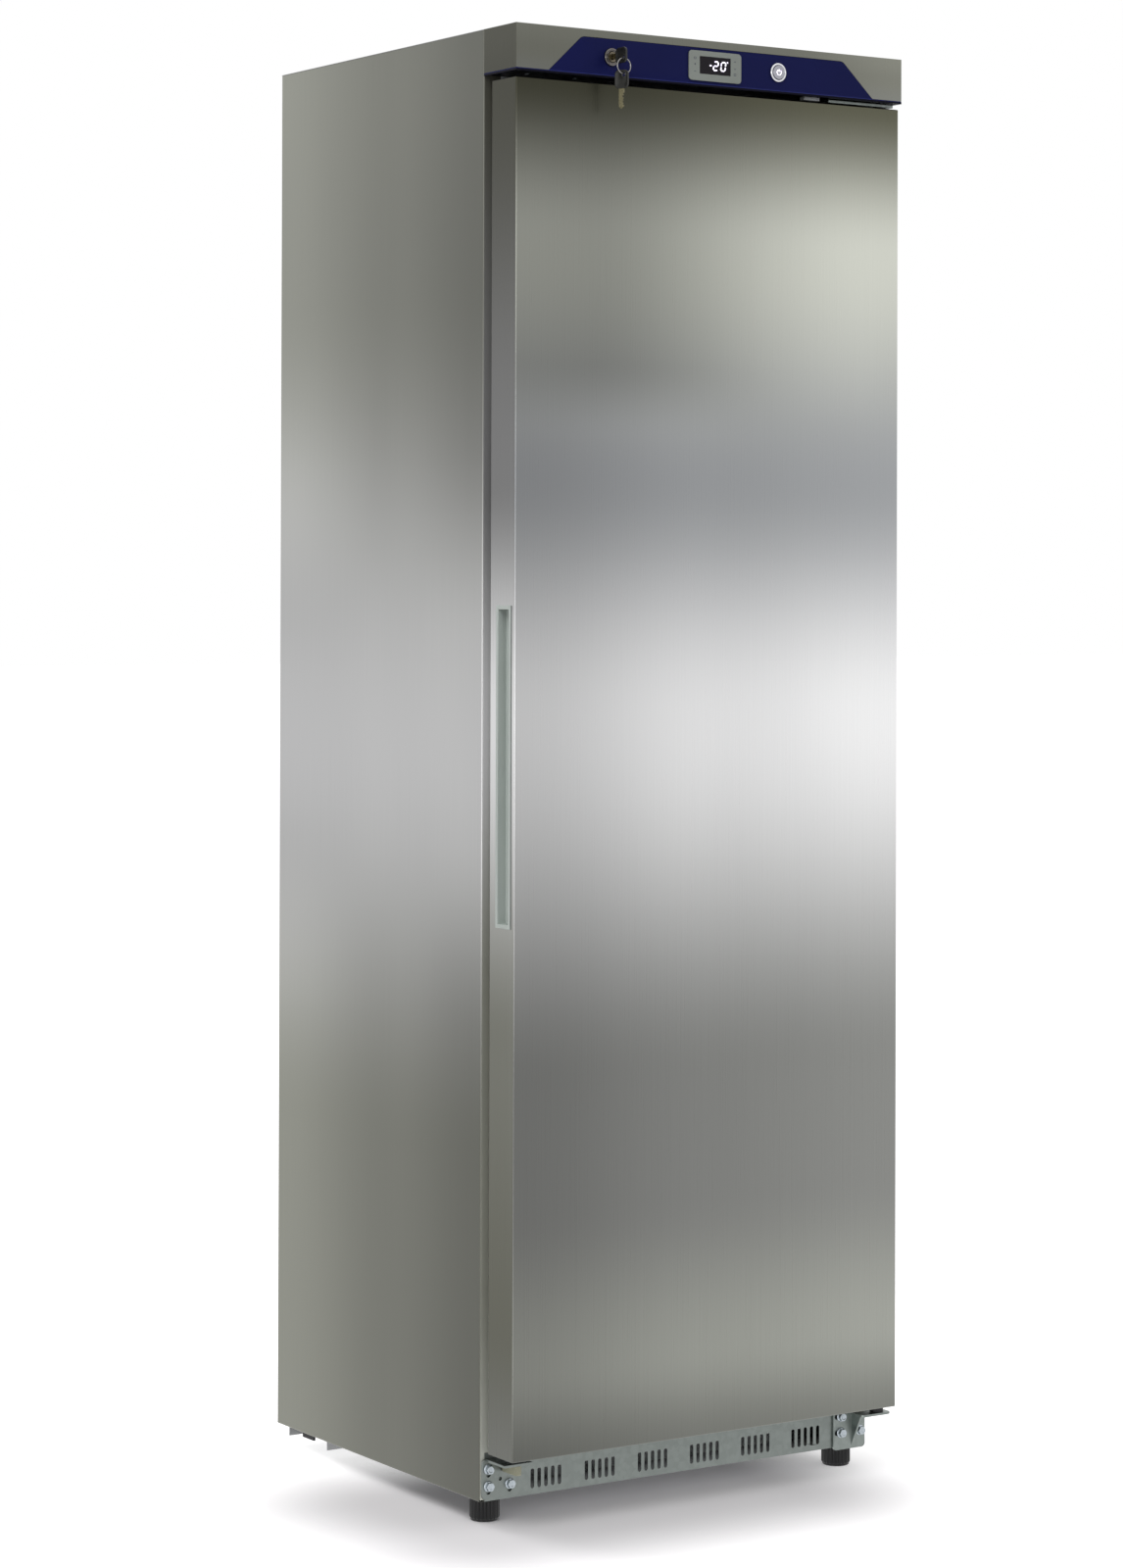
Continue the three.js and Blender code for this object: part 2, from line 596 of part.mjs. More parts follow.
// A curve that stands at one chosen stop at each even step, so that a straight run takes one step only.
class Route extends THREE.Curve {
  constructor(stops) {
    super();
    this.stops = stops;
  }
  getPointAt(u, target = new THREE.Vector3()) {
    return target.copy(this.stops[Math.round(u * (this.stops.length - 1))]);
  }
  getTangentAt(u, target = new THREE.Vector3()) {
    const i = Math.round(u * (this.stops.length - 1));
    const here = this.stops[i];
    const ahead = this.stops[Math.min(i + 1, this.stops.length - 1)];
    const behind = this.stops[Math.max(i - 1, 0)];
    const coming = here.clone().sub(behind).normalize();
    const going = ahead.clone().sub(here).normalize();
    return target.copy(coming.add(going)).normalize();
  }
}

// A pipe of round section through corner points.
function pipe(corners, radius, bend, sides = TUBE_SIDES) {
  const section = new THREE.Shape();
  for (let i = 0; i < sides; i += 1) {
    const angle = ((i + 0.5) / sides) * 2 * Math.PI;
    const place = [radius * Math.cos(angle), radius * Math.sin(angle)];
    if (i === 0) section.moveTo(...place);
    else section.lineTo(...place);
  }
  section.closePath();
  const stops = pipeStops(corners, bend);
  const options = { steps: stops.length - 1, extrudePath: new Route(stops), bevelEnabled: false };
  return new THREE.ExtrudeGeometry(section, options);
}

// ---------------------------------------------------------------- materials

function finish(color, roughness, metalness) {
  return { color, roughness, metalness };
}

const STAINLESS = finish(0x9a9a94, 0.35, 1);
const GALVANISED = finish(0x9aa1a3, 0.5, 0.9);
const NAVY_PLASTIC = finish(0x1a1c46, 0.35, 0);
const GREY_PLASTIC = finish(0x9a9e9c, 0.5, 0);
const PALE_GREY_PLASTIC = finish(0xb4b8b6, 0.45, 0);
const BLACK_PLASTIC = finish(0x17181a, 0.5, 0);
const SCREEN = finish(0x1c1a20, 0.15, 0);
const CHROME = finish(0xd6d6d8, 0.12, 1);
const BRASS = finish(0xb49a5c, 0.3, 1);
const CREAM_PLASTIC = finish(0xcfc9a4, 0.5, 0);
const WHITE_PLASTIC = finish(0xe8eaea, 0.4, 0);
const GASKET_RUBBER = finish(0x6a6d68, 0.7, 0);
const FOAM = finish(0xe6d9a8, 0.9, 0);
const BLACK_PAINT = finish(0x1b1c1e, 0.4, 0.4);
const COPPER = finish(0xb46a42, 0.35, 1);
const WHITE_PAINT = finish(0xe2e6e8, 0.35, 0.1);
const ZINC = finish(0xb4bcc4, 0.3, 1);
const BLACK_RUBBER = finish(0x1a1a1b, 0.8, 0);

const machine = new THREE.Group();

function add(name, geometry, look) {
  const material = new THREE.MeshStandardMaterial(look);
  const mesh = new THREE.Mesh(geometry, material);
  mesh.name = name;
  machine.add(mesh);
  return mesh;
}

// ---------------------------------------------------------------- cabinet

function sidePanel(side) {
  const sheet = [side * HALF, side * (HALF - SHEET)];
  const height = [UNDERSIDE_Z, PANEL_TOP_Z];
  const depth = [0, CABINET_DEPTH];
  const web = block(sheet, depth, height);
  const front = block([side * HALF, side * (HALF - FRONT_RETURN)], [0, SHEET], height);
  const rearY = [CABINET_DEPTH - SHEET, CABINET_DEPTH];
  const rear = block([side * HALF, side * (HALF - REAR_RETURN)], rearY, height);
  const bottomZ = [UNDERSIDE_Z, UNDERSIDE_Z + SHEET];
  const bottom = block([side * HALF, side * (HALF - BOTTOM_RETURN)], depth, bottomZ);
  const z = side < 0 ? [BOLT_LOW_Z, BOLT_HIGH_Z] : [BOLT_LOW_Z];
  const holes = z.map((height) =>
    rod("y", [side * BOLT_OUTER_X, 0, height], [-SHEET, 2 * SHEET], BOLT_RADIUS + HOLE_PLAY, SMALL_ROUND),
  );
  return cut(join(web, front, rear, bottom), ...holes);
}

add("side_panel_left", sidePanel(-1), STAINLESS);
add("side_panel_right", sidePanel(1), STAINLESS);
add("top_panel", block([-HALF, HALF], [0, CABINET_DEPTH], [HEIGHT - SHEET, HEIGHT]), STAINLESS);
const backHeight = [MACHINE_ROOF_Z, PANEL_TOP_Z];
add("back_panel", block([-SKIN_X, SKIN_X], [BACK_PANEL_FRONT, BACK_PANEL_REAR], backHeight), GALVANISED);

// The machine space's roof and front wall go on from the cabinet's bottom in one folded sheet.
function bottomPanel() {
  const profile = outline([
    [FOAM_FRONT, BOTTOM_PANEL_Z],
    [STEP_Y, BOTTOM_PANEL_Z],
    [STEP_Y, MACHINE_ROOF_Z],
    [FOAM_BACK, MACHINE_ROOF_Z],
    [FOAM_BACK, MACHINE_ROOF_Z + SHEET],
    [STEP_Y - SHEET, MACHINE_ROOF_Z + SHEET],
    [STEP_Y - SHEET, BOTTOM_PANEL_Z + SHEET],
    [FOAM_FRONT, BOTTOM_PANEL_Z + SHEET],
  ]);
  const hole = suctionHole(MACHINE_ROOF_Z - SHEET, MACHINE_ROOF_Z + 2 * SHEET);
  return cut(pushed("x", profile, [-SKIN_X, SKIN_X]), hole);
}

const SUCTION_X = COMPRESSOR_X - STUB_SPREAD / 2;
const DISCHARGE_X = COMPRESSOR_X + STUB_SPREAD / 2;

function suctionHole(from, to) {
  return rod("z", [SUCTION_X, STUB_Y, 0], [from, to], SUCTION_RADIUS + HOLE_PLAY, SMALL_ROUND);
}

add("bottom_panel", bottomPanel(), GALVANISED);

// The liner's space, grown on every side by a wall; the front stays open.
function cavity(grown) {
  const profile = outline([
    [-SHEET, CAVITY_FLOOR - grown],
    [CAVITY_STEP_Y + grown, CAVITY_FLOOR - grown],
    [CAVITY_STEP_Y + grown, CAVITY_STEP_Z - grown],
    [CAVITY_BACK + grown, CAVITY_STEP_Z - grown],
    [CAVITY_BACK + grown, CAVITY_TOP + grown],
    [-SHEET, CAVITY_TOP + grown],
  ]);
  return pushed("x", profile, [-CAVITY_X - grown, CAVITY_X + grown]);
}

// Odd shelves start at the left and end at the right, even ones the other way round.
const shelfSide = (shelf) => (shelf % 2 ? -1 : 1);
const shelfZ = (shelf) => FIRST_SHELF_Z + (shelf - 1) * SHELF_PITCH;

function tubeHoles(to) {
  const first = [shelfSide(1) * SHELF_HALF, 0, shelfZ(1)];
  const last = [-shelfSide(SHELVES) * SHELF_HALF, 0, shelfZ(SHELVES)];
  const radius = SHELF_TUBE_RADIUS + HOLE_PLAY;
  return [first, last].map((place) => rod("y", place, [CAVITY_BACK - LINER, to], radius, SMALL_ROUND));
}

function cabinetFoam() {
  const profile = outline([
    [FOAM_FRONT, BOTTOM_PANEL_Z + SHEET + GAP],
    [STEP_Y - SHEET - GAP, BOTTOM_PANEL_Z + SHEET + GAP],
    [STEP_Y - SHEET - GAP, MACHINE_ROOF_Z + SHEET + GAP],
    [FOAM_BACK, MACHINE_ROOF_Z + SHEET + GAP],
    [FOAM_BACK, PANEL_TOP_Z],
    [FOAM_FRONT, PANEL_TOP_Z],
  ]);
  const pocketTop = MACHINE_ROOF_Z + SHEET + SUCTION_IN_FOAM + GAP;
  return cut(
    pushed("x", profile, [-SKIN_X, SKIN_X]),
    cavity(LINER + GAP),
    suctionHole(MACHINE_ROOF_Z, pocketTop),
    ...tubeHoles(CAVITY_BACK + LINER + TUBE_IN_FOAM + GAP),
  );
}

function innerLiner() {
  const flangeX = HALF - FRONT_RETURN - GAP;
  const flange = block([-flangeX, flangeX], [0, LINER], [BOTTOM_PANEL_Z, PANEL_TOP_Z]);
  const shell = cut(cavity(LINER), block([-HALF, HALF], [-2 * SHEET, 0], [0, HEIGHT]));
  const hollow = cut(join(flange, shell), cavity(0));
  const ledges = [];
  for (let shelf = 1; shelf <= SHELVES; shelf += 1) {
    const top = shelfZ(shelf) - SHELF_TUBE_RADIUS - GAP;
    const depth = [SHELF_FRONT_Y, SHELF_BACK_Y - GAP];
    for (const side of [-1, 1]) {
      const across = [side * (CAVITY_X + LINER / 2), side * (CAVITY_X - LEDGE_DEPTH)];
      ledges.push(block(across, depth, [top - LEDGE_HEIGHT, top]));
    }
  }
  return cut(join(hollow, ...ledges), ...tubeHoles(CAVITY_BACK + 2 * LINER));
}

add("cabinet_foam", cabinetFoam(), FOAM);
add("inner_liner", innerLiner(), WHITE_PLASTIC);

// Runs of tube from front to back. One end turns down to meet the shelf below, the other climbs to the
// shelf above; the first and last ends go straight back through the liner.
function evaporatorShelf(shelf) {
  const side = shelfSide(shelf);
  const z = shelfZ(shelf);
  const through = CAVITY_BACK + LINER + TUBE_IN_FOAM;
  const corners = [];
  if (shelf === 1) corners.push([side * SHELF_HALF, through, z]);
  else {
    corners.push([side * SHELF_HALF, RISER_Y, z - RISER_BEND - RISER_STUB]);
    corners.push([side * SHELF_HALF, RISER_Y, z]);
  }
  for (let run = 0; run < SHELF_RUNS; run += 1) {
    const x = side * (SHELF_HALF - run * SHELF_RUN_PITCH);
    const forward = run % 2 === 0;
    const back = SHELF_BACK_Y + SHELF_RUN_PITCH / 4;
    if (run > 0) corners.push([x, forward ? back : SHELF_FRONT_Y, z]);
    if (run < SHELF_RUNS - 1) corners.push([x, forward ? SHELF_FRONT_Y : back, z]);
  }
  const end = -side * SHELF_HALF;
  if (shelf === SHELVES) corners.push([end, through, z]);
  else {
    corners.push([end, RISER_Y, z]);
    corners.push([end, RISER_Y, z + SHELF_PITCH - RISER_BEND - RISER_STUB - GAP]);
  }
  return corners;
}

for (let shelf = 1; shelf <= SHELVES; shelf += 1) {
  const geometry = pipe(evaporatorShelf(shelf), SHELF_TUBE_RADIUS, RISER_BEND);
  add(`evaporator_shelf_${shelf}`, geometry, WHITE_PAINT);
}

// ---------------------------------------------------------------- base

function baseRail() {
  const front = RAIL_FRONT;
  const rear = RAIL_FRONT + RAIL_DEPTH;
  const low = FLOOR_PLATE_Z;
  const profile = outline([
    [front, low],
    [rear, low],
    [rear, low + RAIL_REAR_FLANGE],
    [rear - RAIL_THICKNESS, low + RAIL_REAR_FLANGE],
    [rear - RAIL_THICKNESS, low + RAIL_THICKNESS],
    [front + RAIL_THICKNESS, low + RAIL_THICKNESS],
    [front + RAIL_THICKNESS, low + RAIL_FRONT_FLANGE],
    [front, low + RAIL_FRONT_FLANGE],
  ]);
  const throughFloor = [low - PAST, low + 2 * RAIL_THICKNESS];
  const holes = [-1, 1].map((side) =>
    rod("z", [side * FOOT_X, FOOT_Y, 0], throughFloor, STUD_RADIUS + PIN_PLAY, SMALL_ROUND),
  );
  const tabTop = BOTTOM_PANEL_Z - RAIL_TAB_DROP;
  const tabY = [front, front + RAIL_THICKNESS];
  const tabs = [-1, 1].map((side) =>
    block([side * SKIN_X, side * (SKIN_X - RAIL_TAB_WIDTH)], tabY, [low, tabTop]),
  );
  const throughTab = [front - PAST, front + RAIL_THICKNESS + PAST];
  const threads = [...boltPlaces(-1), ...boltPlaces(1)].map(([x, z]) =>
    rod("y", [x, 0, z], throughTab, BOLT_RADIUS + HOLE_PLAY, SMALL_ROUND),
  );
  return cut(join(pushed("x", profile, [-SKIN_X, SKIN_X]), ...tabs), ...holes, ...threads);
}

add("base_rail", baseRail(), GALVANISED);

function ribbedOutline(radius, ribs, depth) {
  const shape = new THREE.Shape();
  const steps = ribs * 4;
  for (let i = 0; i < steps; i += 1) {
    const angle = (i / steps) * 2 * Math.PI;
    const reach = i % 4 < 2 ? radius : radius - depth;
    const place = [reach * Math.cos(angle), reach * Math.sin(angle)];
    if (i === 0) shape.moveTo(...place);
    else shape.lineTo(...place);
  }
  shape.closePath();
  return shape;
}

function foot(side) {
  const centre = [side * FOOT_X, FOOT_Y, 0];
  const ribs = pushed("z", ribbedOutline(FOOT_RADIUS, FOOT_RIBS, FOOT_RIB_DEPTH), [FOOT_SOLE, FOOT_HEIGHT]);
  ribs.translate(centre[0], centre[1], 0);
  const soleRadius = FOOT_RADIUS - FOOT_SOLE_INSET;
  const sole = rod("z", centre, [0, FOOT_SOLE + SINK], soleRadius, ROUND);
  const stud = rod("z", centre, [FOOT_HEIGHT - SINK, FOOT_HEIGHT + STUD_LENGTH], STUD_RADIUS, SMALL_ROUND);
  return join(ribs, sole, stud);
}

add("foot_left", foot(-1), BLACK_PLASTIC);
add("foot_right", foot(1), BLACK_PLASTIC);

function compressorTray() {
  const plate = block([-SKIN_X, SKIN_X], [TRAY_FRONT, TRAY_REAR], [FLOOR_PLATE_Z, TRAY_TOP_Z]);
  const flangeZ = [FLOOR_PLATE_Z - TRAY_FLANGE, TRAY_TOP_Z];
  const across = [-TRAY_FLANGE_X, TRAY_FLANGE_X];
  const front = block(across, [TRAY_FRONT, TRAY_FRONT + TRAY_THICKNESS], flangeZ);
  const rear = block(across, [TRAY_REAR - TRAY_THICKNESS, TRAY_REAR], flangeZ);
  return join(plate, front, rear);
}

add("compressor_tray", compressorTray(), GALVANISED);

const housingTop = FLOOR_PLATE_Z - GAP;
const earInner = ROLLER_X - ROLLER_WIDTH / 2 - GAP;
const earOuter = ROLLER_X + ROLLER_WIDTH / 2 + GAP;

function rollerHousing(side) {
  const depth = [ROLLER_Y - HOUSING_DEPTH / 2, ROLLER_Y + HOUSING_DEPTH / 2];
  const reach = [side * TRAY_FLANGE_X, side * (earInner - EAR)];
  const body = block(reach, depth, [housingTop - HOUSING_BLOCK, housingTop]);
  const skirtX = [side * TRAY_FLANGE_X, side * (TRAY_FLANGE_X - HOUSING_SKIRT)];
  const skirt = block(skirtX, depth, [HOUSING_SKIRT_Z, housingTop]);
  const ears = [[earInner - EAR, earInner], [earOuter, earOuter + EAR]].map(([a, b]) =>
    block([side * a, side * b], [ROLLER_Y - EAR * 2, ROLLER_Y + EAR * 2], [EAR_BOTTOM_Z, housingTop]),
  );
  const wheelTop = 2 * ROLLER_RADIUS + 2 * GAP;
  const slot = block([side * earInner, side * earOuter], [depth[0] - PAST, depth[1] + PAST], [0, wheelTop]);
  const hollow = cut(join(body, skirt, ...ears), slot);
  const axleX = [side * (earInner - EAR), side * (earOuter + EAR)].sort((a, b) => a - b);
  return join(hollow, rod("x", [0, ROLLER_Y, ROLLER_RADIUS], axleX, AXLE_RADIUS, SMALL_ROUND));
}

function roller(side) {
  const half = ROLLER_WIDTH / 2;
  const bore = AXLE_RADIUS + PIN_PLAY;
  const profile = [
    [bore, -half],
    [ROLLER_RADIUS - CHAMFER, -half],
    [ROLLER_RADIUS, CHAMFER - half],
    [ROLLER_RADIUS, half - CHAMFER],
    [ROLLER_RADIUS - CHAMFER, half],
    [bore, half],
  ];
  return turned("x", [side * ROLLER_X, ROLLER_Y, ROLLER_RADIUS], profile, WHEEL_ROUND);
}

for (const [name, side] of [["left", -1], ["right", 1]]) {
  add(`roller_housing_${name}`, rollerHousing(side), BLACK_PLASTIC);
  add(`roller_${name}`, roller(side), BLACK_PLASTIC);
}

function kickPanel() {
  const across = [-KICK_HALF_WIDTH, KICK_HALF_WIDTH];
  const plate = block(across, [KICK_FRONT, KICK_BACK], [KICK_BOTTOM_Z, KICK_TOP_Z]);
  const through = [KICK_FRONT - PAST, KICK_BACK + PAST];
  const holes = [];
  const straight = VENT_LENGTH - VENT_WIDTH;
  for (let group = 0; group < VENT_GROUPS; group += 1) {
    const groupX = (group - (VENT_GROUPS - 1) / 2) * VENT_GROUP_PITCH;
    for (let vent = 0; vent < VENTS_PER_GROUP; vent += 1) {
      const x = groupX + (vent - (VENTS_PER_GROUP - 1) / 2) * VENT_PITCH;
      const low = [x, VENT_CENTRE_Z - straight / 2];
      holes.push(obround(low, [0, straight], VENT_WIDTH / 2, through, SLOT_ROUND));
    }
  }
  for (const [x, z] of [...boltPlaces(-1), ...boltPlaces(1)])
    holes.push(rod("y", [x, 0, z], through, BOLT_RADIUS + HOLE_PLAY, SMALL_ROUND));
  return cut(plate, ...holes);
}

// The left bracket has its pair of bolts outside, the right one inside.
function boltPlaces(side) {
  const pair = side < 0 ? BOLT_OUTER_X : BOLT_INNER_X;
  const single = side < 0 ? BOLT_INNER_X : BOLT_OUTER_X;
  return [[side * pair, BOLT_HIGH_Z], [side * pair, BOLT_LOW_Z], [side * single, BOLT_LOW_Z]];
}

add("kick_panel", kickPanel(), GALVANISED);

function bolt([x, z]) {
  const seat = BRACKET_FRONT - GAP;
  const shank = rod("y", [x, 0, z], [seat - SINK, seat + BOLT_LENGTH], BOLT_RADIUS, TINY_ROUND);
  const flange = rod("y", [x, 0, z], [seat - BOLT_FLANGE, seat], BOLT_FLANGE_RADIUS, SMALL_ROUND);
  const hex = rod("y", [x, 0, z], [seat - BOLT_FLANGE - BOLT_HEX_HEIGHT, seat], BOLT_HEX_RADIUS, HEXAGON);
  return join(shank, flange, hex);
}

boltPlaces(-1).forEach((place, i) => add(`bolt_left_${i + 1}`, bolt(place), ZINC));
boltPlaces(1).forEach((place, i) => add(`bolt_right_${i + 1}`, bolt(place), ZINC));

function boltSlots(side, direction) {
  const through = [BRACKET_FRONT - PAST, BRACKET_BACK + PAST];
  const halfWidth = BOLT_RADIUS + HOLE_PLAY;
  const reach = direction.map((part) => part * (SLOT_REACH - halfWidth));
  return boltPlaces(side).map((place) => obround(place, reach, halfWidth, through, SMALL_ROUND));
}

function stopBracket() {
  const across = [-BRACKET_OUTER, -BRACKET_INNER];
  const plate = pushed(
    "y",
    rectangle(across, [BRACKET_TOP_Z - STOP_BRACKET_HEIGHT, BRACKET_TOP_Z], BRACKET_CORNER),
    [BRACKET_FRONT, BRACKET_BACK],
  );
  const tongueX = [-BRACKET_OUTER + TONGUE_SIDE_CUT, -BRACKET_INNER - BRACKET_CORNER];
  const tongueY = [BRACKET_BACK - TONGUE_REACH, BRACKET_BACK];
  const tongue = block(tongueX, tongueY, [BRACKET_UNDER_Z, BRACKET_TOP_Z]);
  const through = [BRACKET_FRONT - PAST, BRACKET_BACK + PAST];
  const holeAt = [SPARE_HOLE_INSET - HALF, 0, BRACKET_TOP_Z - SPARE_HOLE_DROP];
  const hole = rod("y", holeAt, through, SPARE_HOLE_RADIUS, SMALL_ROUND);
  return cut(join(plate, tongue), hole, ...boltSlots(-1, [0, -1]));
}

add("stop_bracket", stopBracket(), GALVANISED);

function restBlock() {
  const middle = REST_BLOCK_INSET - HALF;
  const front = BRACKET_BACK - TONGUE_REACH + REST_BLOCK_SETBACK;
  const top = BRACKET_UNDER_Z - GAP;
  return block(
    [middle - REST_BLOCK_WIDTH / 2, middle + REST_BLOCK_WIDTH / 2],
    [front, Math.min(front + REST_BLOCK_LENGTH, BRACKET_FRONT - GAP)],
    [top - REST_BLOCK_HEIGHT, top],
  );
}

add("rest_block", restBlock(), CREAM_PLASTIC);

function bottomHinge() {
  const across = [BRACKET_INNER, BRACKET_OUTER];
  const plate = pushed(
    "y",
    rectangle(across, [BRACKET_TOP_Z - HINGE_BRACKET_HEIGHT, BRACKET_TOP_Z], BRACKET_CORNER),
    [BRACKET_FRONT, BRACKET_BACK],
  );
  const shelfX = [BRACKET_INNER + BRACKET_CORNER, BRACKET_OUTER];
  const shelf = pushed(
    "z",
    roundedOutline([
      [shelfX[0], BRACKET_BACK, 0],
      [shelfX[0], AXIS_Y - HINGE_BRACKET_EDGE, BRACKET_CORNER],
      [shelfX[1], AXIS_Y - HINGE_BRACKET_EDGE, BRACKET_CORNER],
      [shelfX[1], BRACKET_BACK, 0],
    ]),
    [BRACKET_UNDER_Z, BRACKET_TOP_Z],
  );
  const gussetLow = BRACKET_UNDER_Z - GUSSET_HEIGHT;
  const gussetProfile = outline([
    [BRACKET_FRONT + SINK, gussetLow],
    [BRACKET_FRONT + SINK, BRACKET_UNDER_Z + SINK],
    [BRACKET_FRONT - GUSSET_REACH, BRACKET_UNDER_Z + SINK],
    [BRACKET_FRONT - GUSSET_REACH, BRACKET_UNDER_Z],
    [BRACKET_FRONT, gussetLow],
  ]);
  const gussetX = HALF - GUSSET_INSET;
  const gusset = pushed("x", gussetProfile, [gussetX - BRACKET / 2, gussetX + BRACKET / 2]);
  const pinTop = DOOR_BOTTOM_Z + HINGE_PIN_GRIP;
  const pin = rod("z", [AXIS_X, AXIS_Y, 0], [BRACKET_UNDER_Z, pinTop], HINGE_PIN_RADIUS, SMALL_ROUND);
  return cut(join(plate, shelf, gusset, pin), ...boltSlots(1, [-1, 0]));
}

add("bottom_hinge", bottomHinge(), ZINC);

function topHinge() {
  const across = [HALF - TOP_HINGE_SIDE - TOP_HINGE_LENGTH, HALF - TOP_HINGE_SIDE];
  const front = AXIS_Y - TOP_HINGE_EDGE;
  const plate = block(across, [front, -GAP], [TOP_HINGE_BOTTOM, TOP_HINGE_TOP]);
  const flangeZ = [TOP_HINGE_BOTTOM, TOP_HINGE_BOTTOM + TOP_HINGE_FLANGE];
  const flange = block(across, [-GAP - TOP_HINGE_PLATE, -GAP], flangeZ);
  const pinZ = [DOOR_TOP_Z - HINGE_PIN_GRIP, TOP_HINGE_TOP];
  return join(plate, flange, rod("z", [AXIS_X, AXIS_Y, 0], pinZ, HINGE_PIN_RADIUS, SMALL_ROUND));
}

add("top_hinge", topHinge(), ZINC);

// ---------------------------------------------------------------- fascia

// The window in the cover, a trapezoid open at the bottom, grown by a margin. Its sides run on below the
// cover's lower edge.
function windowOutline(margin) {
  const top = HEIGHT - FACE_TOP_MARGIN;
  const slope = (FACE_BOTTOM_HALF - FACE_TOP_HALF) / (top - FASCIA_BOTTOM_Z);
  const low = FASCIA_BOTTOM_Z - LIP_HEIGHT;
  const foot = FACE_BOTTOM_HALF + slope * LIP_HEIGHT + margin;
  const head = FACE_TOP_HALF - slope * margin + margin;
  return roundedOutline([
    [-foot, low, 0],
    [foot, low, 0],
    [head, top + margin, FACE_TOP_ROUND],
    [-head, top + margin, FACE_TOP_ROUND],
  ]);
}

function fasciaCover() {
  const height = [FASCIA_BOTTOM_Z, HEIGHT];
  const back = -GAP;
  const front = block([-HALF, HALF], [FASCIA_FRONT, FASCIA_FRONT + SHEET], height);
  const top = block([-HALF, HALF], [FASCIA_FRONT, back], [HEIGHT - SHEET, HEIGHT]);
  const depth = [FASCIA_FRONT, back];
  const sides = [-1, 1].map((side) => block([side * HALF, side * (HALF - SHEET)], depth, height));
  const opening = pushed("y", windowOutline(0), [FASCIA_FRONT - PAST, FASCIA_FRONT + SHEET + GAP]);
  return cut(join(front, top, ...sides), opening);
}

add("fascia_cover", fasciaCover(), STAINLESS);

function fasciaPanel() {
  const inner = HALF - SHEET - GAP;
  const face = block([-inner, inner], [PANEL_FACE, PANEL_BACK], [LIP_TOP - LIP_HEIGHT / 2, PANEL_TOP_Z]);
  const through = [FASCIA_FRONT - PAST, PANEL_BACK + PAST];
  const belowPad = block([-HALF, HALF], through, [0, LIP_TOP - LIP_HEIGHT / 2]);
  const pad = cut(pushed("y", windowOutline(-GAP), [PANEL_PAD, PANEL_FACE + SINK]), belowPad);
  const lipInner = HALF - LIP_WIDTH;
  const lipBack = PANEL_BACK + SHEET;
  const lipOutline = outline([
    [-HALF, FASCIA_FRONT],
    [HALF, FASCIA_FRONT],
    [HALF, -GAP],
    [lipInner, -GAP],
    [lipInner, lipBack],
    [-lipInner, lipBack],
    [-lipInner, -GAP],
    [-HALF, -GAP],
  ]);
  const lip = pushed("z", lipOutline, [LIP_BOTTOM, LIP_TOP]);
  const underside = block(
    [-HALF + LIP_WIDTH / 2, HALF - LIP_WIDTH / 2],
    [PANEL_FACE, -GAP - TOP_HINGE_PLATE - GAP],
    [UNDERSIDE_TOP - FASCIA_WALL, UNDERSIDE_TOP],
  );
  const halfBody = DISPLAY_BODY_WIDTH / 2 + GAP;
  const halfTall = DISPLAY_BODY_HEIGHT / 2 + GAP;
  const displayHole = block(
    [DISPLAY_X - halfBody, DISPLAY_X + halfBody],
    through,
    [DISPLAY_Z - halfTall, DISPLAY_Z + halfTall],
  );
  const buttonHole = rod("y", [BUTTON_X, 0, BUTTON_Z], through, BUTTON_SLEEVE_RADIUS + GAP);
  const lockHole = rod("y", [LOCK_X, 0, LOCK_Z], through, LOCK_BODY_RADIUS + GAP);
  const solidPanel = join(face, pad, lip, underside);
  const slot = camSlot(UNDERSIDE_TOP, [LIP_BOTTOM - PAST, UNDERSIDE_TOP + PAST]);
  return cut(solidPanel, displayHole, buttonHole, lockHole, slot);
}

// How far across the cam reaches where it sweeps through a level, with play on both sides.
function camSpan(level) {
  const drop = LOCK_Z - level;
  const reach = Math.sqrt(Math.max(CAM_SWEEP ** 2 - drop ** 2, CAM_WIDTH ** 2));
  return [LOCK_X - CAM_WIDTH / 2 - KEEPER_PLAY, LOCK_X + reach + KEEPER_PLAY];
}

function camSlot(level, height) {
  const depth = [CAM_MIDDLE - KEEPER_SLOT_WIDTH / 2, CAM_MIDDLE + KEEPER_SLOT_WIDTH / 2];
  return block(camSpan(level), depth, height);
}

add("fascia_panel", fasciaPanel(), NAVY_PLASTIC);

function displayBezel() {
  const half = DISPLAY_WIDTH / 2;
  const tall = DISPLAY_HEIGHT / 2;
  const frontShape = rectangle(
    [DISPLAY_X - half, DISPLAY_X + half],
    [DISPLAY_Z - tall, DISPLAY_Z + tall],
    DISPLAY_CORNER,
  );
  const seat = PANEL_PAD - GAP;
  const frame = pushed("y", frontShape, [seat - DISPLAY_PROUD, seat]);
  const body = block(
    [DISPLAY_X - DISPLAY_BODY_WIDTH / 2, DISPLAY_X + DISPLAY_BODY_WIDTH / 2],
    [seat - DISPLAY_PROUD / 2, seat + DISPLAY_BODY_DEPTH],
    [DISPLAY_Z - DISPLAY_BODY_HEIGHT / 2, DISPLAY_Z + DISPLAY_BODY_HEIGHT / 2],
  );
  return cut(join(frame, body), screen(0, PAST));
}

// The recess for the screen, or with a clearance taken off, the screen itself.
function screen(clearance, proud) {
  const front = PANEL_PAD - GAP - DISPLAY_PROUD;
  const half = SCREEN_WIDTH / 2 - clearance;
  const tall = SCREEN_HEIGHT / 2 - clearance;
  const middle = DISPLAY_Z + SCREEN_RAISE;
  return block(
    [DISPLAY_X - half, DISPLAY_X + half],
    [front - proud, front + SCREEN_RECESS - clearance],
    [middle - tall, middle + tall],
  );
}

